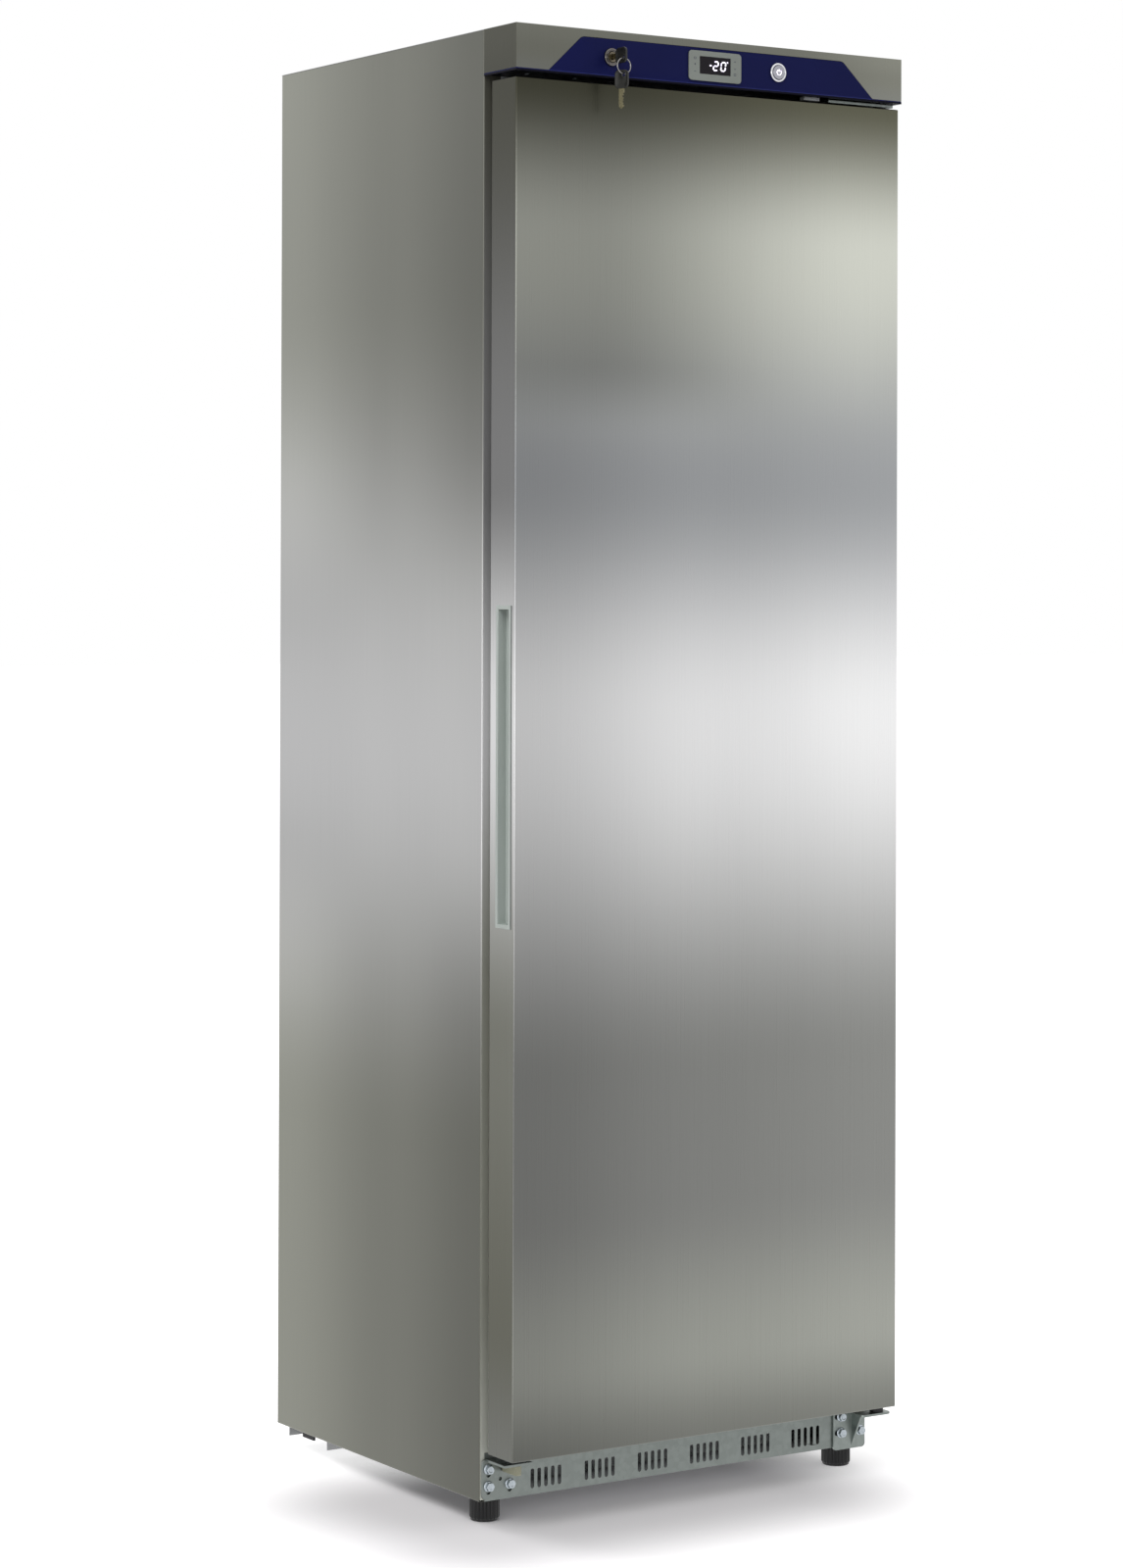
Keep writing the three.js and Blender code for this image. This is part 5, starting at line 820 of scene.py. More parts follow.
class FREEZER_OT_door(bpy.types.Operator):
    """Makes the door's steel pan with folded edges, open for the grip and the lock's keeper"""

    bl_idname = "freezer.door"
    bl_label = "Door pan"

    def execute(self, context):
        """The pan is a profile carried round a rectangle with round corners.

        Its points are edge + out * offset, with offset and depth from the profile: from the flat front, over
        a quarter round, back along the side, over a second round and in along the return.
        """
        steel = context.scene.freezer_steel
        low, high = (np.array(corner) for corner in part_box("door_skin"))
        grip_low, grip_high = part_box("grip_moulding")
        keep_low, keep_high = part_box("lock_keeper")
        lip, flange = 2.2 * MM, 0.3 * MM
        z_stops = (grip_low.z + lip, grip_high.z - lip)
        x_stops = (keep_low.x - flange, keep_high.x + flange)
        radius, turn = steel.edge_radius, 6
        way = RoundFrame((low[0], low[2]), (high[0], high[2]), 1.2 * MM, 5, x_stops, z_stops)
        front, back = low[1], high[1]
        first = arc((-radius, front + radius), radius, -90, 0, turn)
        last = arc((-radius, back - radius), radius, 0, 90, turn)
        depths = sorted((grip_low.y + lip, grip_high.y - lip, keep_low.y - flange, keep_high.y + flange))
        straight = np.array([(0.0, y) for y in depths])
        points = way.carried(np.concatenate([[[-14 * MM, front]], first, straight, last, [[-12 * MM, back]]]))
        edge = way.ring(0.0)
        centre_x, centre_z = ((edge + np.roll(edge, -1, axis=0)) / 2).T
        centre_y = (points[1:, 0, 1] + points[:-1, 0, 1]) / 2
        in_grip = (np.abs(centre_x - low[0]) < 1e-5) & (centre_z > z_stops[0]) & (centre_z < z_stops[1])
        in_keep = (np.abs(centre_z - high[2]) < 1e-5) & (centre_x > x_stops[0]) & (centre_x < x_stops[1])
        grip_rows = (centre_y > grip_low.y + lip) & (centre_y < grip_high.y - lip)
        keep_rows = (centre_y > keep_low.y - flange) & (centre_y < keep_high.y + flange)
        keep = ~(grip_rows[:, None] & in_grip[None, :]) & ~(keep_rows[:, None] & in_keep[None, :])
        pan = grid_object("door_pan", points, around=True, keep=keep, flip=True, close_first=True)
        thickened(smooth(pan, 40), steel.sheet / MM)
        stands_for(pan, "door_skin")
        eased("door_liner", 1.2, 3)
        eased("grip_moulding", 0.35, 3)
        for node in ("lock_keeper", "door_bush_top", "door_bush_bottom"):
            eased(node, 0.3)
        return {"FINISHED"}


class FREEZER_OT_gasket(bpy.types.Operator):
    """Makes the door's gasket: a foot, folded bellows and a magnet strip"""

    bl_idname = "freezer.gasket"
    bl_label = "Gasket"

    def execute(self, context):
        """A closed section carried round a rectangle.

        The section's half width at each depth is half the gasket's width less a fold, which is a sine of the
        depth from the foot to the magnet strip.
        """
        low, high = (np.array(corner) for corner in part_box("door_gasket"))
        half = 14 * MM
        depth = np.linspace(low[1], high[1], 27)
        share = np.linspace(0, 1, 27)
        folds = 3.2 * MM * np.sin(np.pi * np.clip((share - 0.12) / 0.62, 0, 1) * 2.0) ** 2
        ends = 1.6 * MM * (np.maximum(0, 1 - share / 0.06) ** 2 + np.maximum(0, 1 - (1 - share) / 0.06) ** 2)
        inner = half - folds - ends
        magnet = np.where(share > 0.76, 1.5 * MM, 0.0)
        section = np.concatenate([
            np.stack([-half + inner - magnet, depth], axis=1),
            np.stack([-half - inner + magnet, depth], axis=1)[::-1],
        ])
        way = RoundFrame((low[0], low[2]), (high[0], high[2]), 3 * MM, 4)
        seal = grid_object("door_seal", way.carried(section), around=True, along=True)
        stands_for(outward(smooth(seal, 50)), "door_gasket")
        return {"FINISHED"}


class FREEZER_OT_sides(bpy.types.Operator):
    """Makes the cabinet's two side panels with rounded folds"""

    bl_idname = "freezer.sides"
    bl_label = "Side panels"

    def execute(self, context):
        """Each panel is a C shaped plan carried up in Z, with a bottom return carried back in Y."""
        steel = context.scene.freezer_steel
        radius = steel.edge_radius
        for side, name in ((-1, "left"), (1, "right")):
            low, high = (np.array(corner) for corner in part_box(f"side_panel_{name}"))
            outer = low[0] if side < 0 else high[0]
            front, back, bottom = low[1], high[1], low[2]
            plan = np.concatenate([
                [[25 * MM, front]],
                arc((radius, front + radius), radius, -90, -180, 6),
                arc((radius, back - radius), radius, 180, 90, 6),
                [[15 * MM, back]],
            ])
            heights = np.linspace(bottom + 2.5 * MM, high[2], 3)
            wall = np.empty((len(heights), len(plan), 3))
            wall[..., 0] = outer - side * plan[None, :, 0]
            wall[..., 1] = plan[None, :, 1]
            wall[..., 2] = heights[:, None]
            across = np.concatenate([
                [[0.0, bottom + 2.5 * MM]],
                arc((1.5 * MM, bottom + 1.5 * MM), 1.5 * MM, 180, 270, 4),
                [[14 * MM, bottom]],
            ])
            depths = np.linspace(front + 1.2 * MM, back - 1.2 * MM, 3)
            fold = np.empty((len(depths), len(across), 3))
            fold[..., 0] = outer - side * across[None, :, 0]
            fold[..., 1] = depths[:, None]
            fold[..., 2] = across[None, :, 1]
            upright = grid_object("upright", wall, flip=side < 0)
            level = grid_object("level", fold, flip=side < 0)
            panel = merged(f"side_sheet_{name}", [upright, level])
            thickened(smooth(panel, 40), steel.sheet / MM)
            stands_for(panel, f"side_panel_{name}")
        return {"FINISHED"}


class FREEZER_OT_shell(bpy.types.Operator):
    """Eases the edges of the cabinet's other sheets and of its liner"""

    bl_idname = "freezer.shell"
    bl_label = "Shell"

    def execute(self, context):
        for node in ("top_panel", "back_panel", "bottom_panel", "base_rail", "compressor_tray"):
            eased(node, 0.35)
        eased("kick_panel", 0.3)
        eased("inner_liner", 0.8, 3)
        return {"FINISHED"}


class FREEZER_OT_fascia(bpy.types.Operator):
    """Makes the fascia's cover and moulding, and what is fitted under them"""

    bl_idname = "freezer.fascia"
    bl_label = "Fascia"

    def execute(self, context):
        eased("fascia_cover", 0.45, 3)
        eased("fascia_panel", 0.5, 3)
        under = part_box("fascia_panel")[0].z + 1 * MM
        lens = slab("lamp_lens", placed(152, -60, 0) + (0, 0, under - 4.4 * MM),
                    placed(178, -49, 0) + (0, 0, under + 0.2 * MM), "z", 2.4 * MM, 0.8 * MM)
        settle(lens, "cabinet", "lens_plastic")
        heads = []
        for x, y in ((-263.5, -42.5), (-190, -39), (195, -47)):
            at = placed(x, y, 0)
            profile = [(r * MM, under - h * MM) for r, h in (
                (0, 0.2), (1.1, 0.2), (1.3, 0.75), (1.9, 0.8), (2.6, 0.55), (2.9, 0.1),
                (2.9, -0.2), (0, -0.2),
            )]
            heads.append(turned("head", "z", at, profile, 20))
        settle(merged("fascia_screws", heads), "cabinet", "zinc_plate")
        return {"FINISHED"}


class FREEZER_OT_display(bpy.types.Operator):
    """Makes the temperature display: its bezel, glass, lit number and printed marks"""

    bl_idname = "freezer.display"
    bl_label = "Display"

    SEGMENTS = {
        "top": ((0, 2), (1, 2)), "upper_left": ((0, 1), (0, 2)), "upper_right": ((1, 1), (1, 2)),
        "middle": ((0, 1), (1, 1)), "lower_left": ((0, 0), (0, 1)), "lower_right": ((1, 0), (1, 1)),
        "bottom": ((0, 0), (1, 0)),
    }
    DIGITS = {
        "minus": ("middle",),
        "two": ("top", "upper_right", "middle", "lower_left", "bottom"),
        "nought": ("top", "upper_left", "upper_right", "lower_left", "lower_right", "bottom"),
    }

    def execute(self, context):
        """A digit is two squares high and one wide: each lit segment is a bar between two of its corners."""
        eased("display_bezel", 0.8, 3)
        eased("display_screen", 0.2)
        low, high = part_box("display_screen")
        middle = np.array([(low.x + high.x) / 2, (low.z + high.z) / 2])
        wide, tall, play = 6.6 * MM, 5.4 * MM, 0.25 * MM
        lit = []
        for digit, shift, share in (("minus", -9.5, 0.65), ("two", -2.6, 1.0), ("nought", 9.0, 1.0)):
            for segment in self.DIGITS[digit]:
                ends = np.array(self.SEGMENTS[segment], float) * (wide * share, tall) - (0, tall)
                way = (ends[1] - ends[0]) / np.linalg.norm(ends[1] - ends[0])
                lit.append(ends + (shift * MM, 0) + middle + np.array([way * play, -way * play]))
        front = low.y
        slant = {"lean": 0.14, "level": middle[1]}
        number = bars("lit_number", lit, 0.92 * MM, front - 0.12 * MM, front + 0.1 * MM, **slant)
        degree = (18.9 * MM, 5.6 * MM) + middle
        ring = turned("degree", "y", (degree[0], 0, degree[1]), [
            (0, front - 0.12 * MM), (1.0 * MM, front - 0.12 * MM), (1.1 * MM, front), (0, front + 0.1 * MM),
        ], 16)
        settle(merged("display_number", [number, ring]), "cabinet", "lit_marks_and_glint")
        self.marks(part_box("display_bezel")[0].y)
        return {"FINISHED"}

    def marks(self, front):
        """Arrows, a bar, a square and a frost star beside the window, in short bars."""
        star = [((-0.9, 0), (0.9, 0)), ((-0.45, -0.8), (0.45, 0.8)), ((-0.45, 0.8), (0.45, -0.8))]
        square = [
            ((-1, -0.8), (1, -0.8)), ((-1, 0.8), (1, 0.8)), ((-1, -0.8), (-1, 0.8)), ((1, -0.8), (1, 0.8)),
        ]
        rise = [((-1.1, -0.5), (0, 0.6)), ((0, 0.6), (1.1, -0.5))]
        fall = [((-1.1, 0.5), (0, -0.6)), ((0, -0.6), (1.1, 0.5))]
        level = [((-1.1, 0), (1.1, 0))]
        x_left, x_right = -32.9, 29.2
        rows = (
            (x_left, 1836.4, square), (x_left, 1828.6, star), (x_left, 1819.6, level),
            (x_right, 1835.6, rise), (x_right, 1826.6, fall), (x_right, 1819.2, square),
        )
        size = 1.5 * MM
        ends = [np.array(bar) * size + placed(x, 0, z)[[0, 2]] for x, z, mark in rows for bar in mark]
        piece = bars("display_marks", ends, 0.34 * MM, front - 0.04 * MM, front + 0.1 * MM)
        settle(piece, "cabinet", "printed_marks")


class FREEZER_OT_button(bpy.types.Operator):
    """Makes the push button's rim, cap and lit mark, whose glow is also a painted glint on the cap"""

    bl_idname = "freezer.button"
    bl_label = "Push button"

    def execute(self, context):
        """The rim and the cap are turned about Y: the rim is a rounded bead, the cap a shallow dish."""
        low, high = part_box("button_bezel")
        centre = (low + high) / 2
        front = low.y / MM
        rim = [
            (9.2, 22), (10.8, 22), (10.8, 3), (12.3, 3), (12.3, 1.3), (12.1, 0.7), (11.6, 0.2), (11, 0),
            (10.3, 0.1), (9.7, 0.5), (9.3, 1.1), (9.2, 2),
        ]
        rows = [(r * MM, (front + y) * MM) for r, y in rim]
        stands_for(turned("button_rim", "y", centre, rows, 64, along=True), "button_bezel")
        low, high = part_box("power_button")
        face = low.y / MM
        cap = [
            (0, 0.75), (2.4, 0.7), (4.4, 0.55), (6, 0.3), (7, 0.05), (7.6, 0), (8.2, 0.1), (8.7, 0.45),
            (8.9, 1), (8.9, 18), (0, 18),
        ]
        button = turned("button_cap", "y", centre, [(r * MM, (face + y) * MM) for r, y in cap], 64, 50)
        stands_for(button, "power_button", finish="satin_cap")
        self.mark(centre, (face + 0.35) * MM)
        return {"FINISHED"}

    def mark(self, centre, front):
        """The lit mark is a bar inside an open circle: a ring of short bars from one angle to another. Its
        glow is also a painted glint on the cap.
        """
        turn = np.radians(np.linspace(125, 415, 17))
        ring = np.stack([np.cos(turn), np.sin(turn)], axis=1) * 3.4 * MM
        ends = np.stack([ring[:-1], ring[1:]], axis=1)
        stroke = np.array([[(0, 0.6), (0, 4.4)]]) * MM
        at = (centre.x, centre.z)
        piece = bars("button_mark", np.concatenate([ends, stroke]) + at, 0.62 * MM, front, front + 0.5 * MM)
        settle(piece, "button", "lit_marks_and_glint")


class FREEZER_OT_lock(bpy.types.Operator):
    """Makes the cam lock's turned barrel, and eases its plug and cam"""

    bl_idname = "freezer.lock"
    bl_label = "Cam lock"

    def execute(self, context):
        """The barrel is turned about Y: a bead outside, a step down inside it, and the body behind."""
        low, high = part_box("lock_barrel")
        centre = (low + high) / 2
        barrel = [
            (6.8, 25), (9.3, 25), (9.3, 3), (11.2, 3), (11.2, 1.2), (11, 0.6), (10.5, 0.15), (9.9, 0),
            (9.2, 0.15), (8.7, 0.6), (8.45, 1.2), (7.6, 1.4), (7.2, 1.1), (6.8, 1.5),
        ]
        profile = [(r * MM, low.y + y * MM) for r, y in barrel]
        stands_for(turned("lock_rim", "y", centre, profile, 64, along=True), "lock_barrel")
        eased("lock_plug", 0.35)
        eased("lock_cam", 0.3)
        return {"FINISHED"}


KEY_HEAD = 23.5 * MM
KEY_HALF = 9.75 * MM
KEY_CORNER = 6 * MM
KEY_HOLE = 2.6 * MM
KEY_HOLE_AT = np.array([-17.5, -3.2]) * MM


class FREEZER_OT_keys(bpy.types.Operator):
    """Makes the key in the lock, the spare key and the split ring that carries it"""

    bl_idname = "freezer.keys"
    bl_label = "Keys"

    def execute(self, context):
        lock_low, lock_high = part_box("lock_barrel")
        lock = (lock_low + lock_high) / 2
        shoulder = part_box("key_inserted")[0].y + KEY_HEAD
        axes = np.array([(0, 1, 0), (0, 0, 1), (1, 0, 0)], float)
        self.key("key_inserted", "lock", np.array([lock.x, shoulder, lock.z]), axes)
        ring_low, ring_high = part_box("key_ring")
        ring = (ring_low + ring_high) / 2
        turn = math.radians(25)
        sine, cosine = math.sin(turn), math.cos(turn)
        hung = np.array([(0, 0, -1), (-sine, cosine, 0), (cosine, sine, 0)])
        spare_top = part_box("key_spare")[1].z
        hole = np.array([ring.x, ring.y, spare_top - KEY_HEAD - KEY_HOLE_AT[0]])
        origin = hole - KEY_HOLE_AT[0] * hung[0] - KEY_HOLE_AT[1] * hung[1]
        self.key("key_spare", "spare_key", origin, hung)
        self.ring(np.array(ring), (ring_high.z - ring_low.z) / 2)
        return {"FINISHED"}

    def key(self, node, body, origin, axes):
        """A key lies along the first axis, stands across the second and is thin in the third."""
        head = grid_object(node + "_head", origin + self.head() @ axes, around=True, along=True)
        stands_for(outward(smooth(head, 40)), node)
        blade = grid_object(node + "_blade", origin + self.blade() @ axes, around=True,
                            close_first=True, close_last=True)
        settle(outward(smooth(blade, 30)), body, "key_brass")

    def head(self):
        """Rows drawn in from the outline over one face to the hole, through it, and back over the other face.

        The point of the hole's rim in a column is the hole's centre + radius * the direction of the
        column's point on the outline. Edges are quarter rounds, and the face between them is sunk a little.
        """
        half, ease, sink = 1.3, 0.55, 0.25
        centres, ways = outline((-KEY_HEAD, -KEY_HALF), (0, KEY_HALF), KEY_CORNER, 7)
        toward = centres + KEY_CORNER * ways - KEY_HOLE_AT
        toward /= np.linalg.norm(toward, axis=1)[:, None]
        quarter = np.radians(np.linspace(0, 90, 4))
        edge = np.stack([ease * (1 - np.sin(quarter)), half - ease * (1 - np.cos(quarter))], axis=1)
        outside = np.concatenate([[(1.8, half - sink), (1.5, half)], edge])
        outside = np.concatenate([outside, outside[::-1] * (1, -1)]) * MM
        inside = np.concatenate([[(1.2, half - sink), (0.9, half)], edge])
        inside = np.concatenate([inside * (1, -1), inside[::-1]]) * MM
        rows = [centres + (KEY_CORNER - inset) * ways for inset in outside[:, 0]]
        rows += [KEY_HOLE_AT + (KEY_HOLE + outset) * toward for outset in inside[:, 0]]
        points = np.empty((len(rows), len(ways), 3))
        points[..., :2] = np.stack(rows)
        points[..., 2] = np.concatenate([outside[:, 1], inside[:, 1]])[:, None]
        return points

    def blade(self):
        """A section with a groove in each face, whose lower edge rises at the cuts, and whose tip closes."""
        along = np.linspace(-1, 25, 79)
        cut_at = (0, 5.2, 6.2, 8.2, 9.4, 10.8, 12, 13.6, 14.8, 16.4, 17.6, 19, 20.4, 25)
        cut_by = (0, 0, 1.5, 0.6, 2.2, 1.2, 0.5, 1.9, 0.9, 2.4, 1.0, 1.6, 0.3, 0)
        closing = np.clip((25.4 - along) / 3.4, 0.12, 1)
        upper = 3.5 * closing
        lower = -(3.5 - np.interp(along, cut_at, cut_by)) * closing
        side, groove = 1.0, 0.62
        rise = np.stack([upper, 1.5 * closing, 1.2 * closing, 0.1 * closing, -0.2 * closing, lower], axis=1)
        across = np.array([side, side, groove, groove, side, side])
        points = np.empty((len(along), 12, 3))
        points[..., 0] = along[:, None]
        points[..., 1] = np.concatenate([rise, rise[:, ::-1]], axis=1)
        points[..., 2] = np.concatenate([across, -across[::-1]])
        return points * MM

    def ring(self, centre, reach):
        """A split ring of two turns: centre + (radius + a cos s) * outward + (pitch + b sin s) * Y."""
        wide, thick, shift = 0.6 * MM, 0.42 * MM, 0.45 * MM
        turn = np.linspace(0, 4 * np.pi, 129)[:, None]
        round_wire = np.arange(12) * 2 * np.pi / 12
        radius = reach - wide + wide * np.cos(round_wire)
        points = np.empty((len(turn), 12, 3))
        points[..., 0] = centre[0] + radius * np.sin(turn)
        points[..., 2] = centre[2] - radius * np.cos(turn)
        climb = shift * np.clip(turn / np.pi - 2, -0.999, 0.999)
        points[..., 1] = centre[1] + climb + thick * np.sin(round_wire)
        ring = grid_object("split_ring", points, around=True, close_first=True, close_last=True)
        stands_for(outward(smooth(ring, 50)), "key_ring")


class FREEZER_OT_brackets(bpy.types.Operator):
    """Makes the hinges, the stop bracket, the rest block and the flange bolts"""

    bl_idname = "freezer.brackets"
    bl_label = "Brackets and bolts"

    def execute(self, context):
        for node in ("stop_bracket", "bottom_hinge", "top_hinge"):
            eased(node, 0.6, 3)
        eased("rest_block", 0.8, 3)
        for side in ("left", "right"):
            for number in (1, 2, 3):
                self.bolt(f"bolt_{side}_{number}")
        return {"FINISHED"}

    def bolt(self, node):
        """A flange bolt, turned about Y, whose head's radius is flat / cos(angle from the middle of a flat).

        The head's rim falls back by 0.55 of its radius beyond the chamfer's circle.
        """
        low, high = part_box(node)
        centre = (low + high) / 2
        sides = 72
        turn = np.arange(sides) * 2 * np.pi / sides
        hexagon = 4.94 / np.cos((turn + np.pi / 6) % (np.pi / 3) - np.pi / 6)
        profile = [
            (0, 0.55), (2.6, 0.55), (3.1, 0.1), (3.6, 0), (4.5, 0), (hexagon, (hexagon - 4.5) * 0.55),
            (hexagon, 4.9), (5.9, 5.1), (6.6, 5.5), (6.8, 5.9), (6.8, 6.2), (3, 6.2), (3, 18.2), (0, 18.2),
        ]
        scaled = [(radius * MM, low.y + place * MM) for radius, place in profile]
        stands_for(turned(node + "_head", "y", centre, scaled, sides), node)


class FREEZER_OT_feet(bpy.types.Operator):
    """Makes the ribbed screw feet, the rear rollers and their housings"""

    bl_idname = "freezer.feet"
    bl_label = "Feet and rollers"

    def execute(self, context):
        """A foot's radius falls between its ribs by depth * (1 - cos(ribs * angle)) / 2, to a power."""
        sides, ribs, depth = 288, 24, 1.4
        turn = np.arange(sides) * 2 * np.pi / sides
        hollow = depth * ((1 - np.cos(ribs * turn)) / 2) ** 2
        for side in ("left", "right"):
            low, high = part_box(f"foot_{side}")
            centre = (low + high) / 2
            rows = (
                (0, 0, 0), (16.6, 0, 0), (17.6, 0.5, 0), (17.9, 1.3, 0), (17.9, 3, 0), (18.9, 3.6, 0.6),
                (19.3, 4.6, 1), (19.3, 25.4, 1), (18.9, 26.8, 0.5), (18, 27.5, 0), (5, 27.5, 0),
                (5, 57), (4.5, 57.5), (0, 57.5),
            )
            profile = [(row[0] - hollow * (row[2] if len(row) > 2 else 0), row[1]) for row in rows]
            scaled = [(np.clip(radius, 0, None) * MM, height * MM) for radius, height in profile]
            stands_for(turned(f"foot_{side}_ribbed", "z", centre, scaled, sides, 40), f"foot_{side}")
            self.roller(side)
            eased(f"roller_housing_{side}", 0.6)
        return {"FINISHED"}

    def roller(self, side):
        """A roller is turned about X: a round tread, a sunk web on both sides and a hub round the axle."""
        low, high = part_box(f"roller_{side}")
        centre = (low + high) / 2
        half = [(3.4, 10.5), (5.6, 10.5), (6, 10.2), (6.2, 8.4), (10.8, 8.4), (11.1, 10.2), (11.5, 10.5),
                (13, 10.5), (13.7, 10.1), (14, 9.4)]
        profile = half + [(radius, -place) for radius, place in half[::-1]]
        scaled = [(radius * MM, centre.x + place * MM) for radius, place in profile]
        wheel = turned(f"roller_{side}_wheel", "x", centre, scaled, 48, along=True)
        stands_for(wheel, f"roller_{side}")


SHELVES = 6
SHELF_RUNS = 10
SHELF_BEND = 20 * MM
SHELF_TUBE = 4 * MM


class FREEZER_OT_shelves(bpy.types.Operator):
    """Makes the six evaporator shelves: one bent tube each, with wires across it"""

    bl_idname = "freezer.shelves"
    bl_label = "Evaporator shelves"

    def execute(self, context):
        """Each tube follows rounded corners to and fro; the wires lie across its runs, evenly spaced."""
        wires = context.scene.freezer_coils.shelf_wires
        for shelf in range(1, SHELVES + 1):
            node = f"evaporator_shelf_{shelf}"
            corners, level = self.corners(shelf, *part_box(node))
            coil = tube("coil", rounded_path(corners, SHELF_BEND, 8), SHELF_TUBE, 14)
            low = corners.min(axis=0)
            depths = np.linspace(low[1] + 12 * MM, low[1] + 386 * MM, wires)
            left, above = low[0] - 6 * MM, level + 4.9 * MM
            starts = np.stack([np.full(wires, left), depths, np.full(wires, above)], axis=1)
            ends = starts * (-1, 1, 1)
            across = rods("across", starts, ends, 1.3 * MM, 8)
            stands_for(merged(f"shelf_{shelf}_coil", [coil, across]), node)
        return {"FINISHED"}

    def corners(self, shelf, low, high):
        """The corners of a shelf's tube, up from the shelf below and on to the next, and its level."""
        side = -1 if shelf % 2 else 1
        half = high.x - SHELF_TUBE
        level = low.z + (SHELF_TUBE if shelf == 1 else 30 * MM)
        front = low.y + SHELF_TUBE
        riser = front + 400 * MM
        back = riser - SHELF_BEND + half / 18
        if shelf == 1:
            corners = [(side * half, high.y, level)]
        else:
            corners = [(side * half, riser, low.z), (side * half, riser, level)]
        for run in range(SHELF_RUNS):
            x = side * half * (1 - 2 * run / (SHELF_RUNS - 1))
            turns = (back, front) if run % 2 == 0 else (front, back)
            if run > 0:
                corners.append((x, turns[0], level))
            if run < SHELF_RUNS - 1:
                corners.append((x, turns[1], level))
        if shelf == SHELVES:
            corners.append((-side * half, high.y, level))
        else:
            corners += [(-side * half, riser, level), (-side * half, riser, high.z)]
        return np.array(corners), level


class FREEZER_OT_condenser(bpy.types.Operator):
    """Makes the wire condenser on the back, the pipes and the drier"""

    bl_idname = "freezer.condenser"
    bl_label = "Condenser and pipes"

    RUNS = 17
    BEND = 30 * MM
    TUBE = 2.5 * MM
    PIPE_BEND = 18 * MM

    def execute(self, context):
        """The tube follows rounded corners down the back; upright wires are welded to both its faces."""
        low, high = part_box("condenser")
        corners = self.corners(low, high)
        coil = tube("coil", rounded_path(corners, self.BEND, 8), self.TUBE, 12)
        count = context.scene.freezer_coils.condenser_wires
        x = np.linspace(-222 * MM, 222 * MM, count)
        top, bottom, y = high.z + 7 * MM, self.lowest - 18 * MM, high.y - self.TUBE
        wires = []
        for face in (-1.6 * MM, 1.6 * MM):
            starts = np.stack([x, np.full(count, y + face), np.full(count, bottom)], axis=1)
            wires.append(rods("wires", starts, starts + (0, 0, top - bottom), 0.85 * MM))
        straps = []
        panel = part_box("back_panel")[1].y
        for side in (-1, 1):
            for run in (1, self.RUNS - 2):
                z = high.z - self.TUBE - run * self.pitch
                at = np.array([side * 180 * MM, 0, z])
                straps.append(slab("strap", at + (-7 * MM, panel + 0.3 * MM, -6 * MM),
                                   at + (7 * MM, y, 6 * MM), "y", 1.6 * MM, 0.5 * MM))
        stands_for(merged("condenser_grid", [coil, *wires, *straps]), "condenser")
        self.pipes(corners, low)
        return {"FINISHED"}

    def corners(self, low, high):
        """The corners of the condenser's tube: up on the right, then to and fro down the back."""
        y = high.y - self.TUBE
        riser, left = high.x - self.TUBE, low.x + self.TUBE
        top = high.z - self.TUBE
        self.lowest = low.z + 170 * MM
        self.pitch = (top - self.lowest) / (self.RUNS - 1)
        corners = [(riser, y, low.z), (riser, y, top)]
        for run in range(self.RUNS):
            z = top - run * self.pitch
            start = -left if run % 2 == 0 else left
            if run > 0:
                corners.append((start, y, z))
            corners.append((-start, y, z))
        corners.append((left, y, low.z))
        return np.array(corners)

    def pipes(self, corners, low):
        """Smooth pipes along the same corners as the solids, and a turned drier with tapered ends."""
        first, last = corners[0], corners[-1]
        hot_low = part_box("discharge_tube")[0]
        hot_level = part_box("discharge_tube")[1].z
        stub = np.array([hot_low.x + self.TUBE, hot_low.y + self.TUBE])
        level = low.z - 68 * MM
        hot = [
            (stub[0], stub[1], hot_low.z), (stub[0], stub[1], level), (first[0], stub[1], level),
            (first[0], first[1], level), (first[0], first[1], hot_level),
        ]
        pipe = tube("discharge_pipe", rounded_path(hot, self.PIPE_BEND, 8), self.TUBE, 12)
        stands_for(pipe, "discharge_tube")
        suction_low, suction_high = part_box("suction_tube")
        middle = (suction_low + suction_high) / 2
        ends = np.array([(middle.x, middle.y, suction_low.z), (middle.x, middle.y, suction_high.z)])
        straight = ends[0] + np.linspace(0, 1, 9)[:, None] * (ends[1] - ends[0])
        stands_for(tube("suction_pipe", straight, 5 * MM, 16), "suction_tube")
        drier_low, drier_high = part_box("filter_drier")
        at = np.array([last[0], drier_low.y + 9 * MM, 0])
        base = drier_low.z
        rows = (
            (0, 0), (2.6, 0), (3.4, 0.6), (3.8, 2.6), (5, 5.4), (7.6, 8.2), (8.8, 10.6), (9, 12.4),
            (9, 91.6), (8.8, 93.4), (7.6, 95.8), (5, 98.6), (3.8, 101.4), (3.4, 103.4), (0, 104),
        )
        can = turned("can", "z", at, [(radius * MM, base + height * MM) for radius, height in rows], 32, 50)
        liquid = [
            (last[0], last[1], drier_high.z), (last[0], last[1], level), (last[0], at[1], level),
            (last[0], at[1], base + 103 * MM),
        ]
        line = tube("line", rounded_path(liquid, self.PIPE_BEND, 8), self.TUBE, 12)
        stands_for(merged("drier_and_line", [can, line]), "filter_drier")


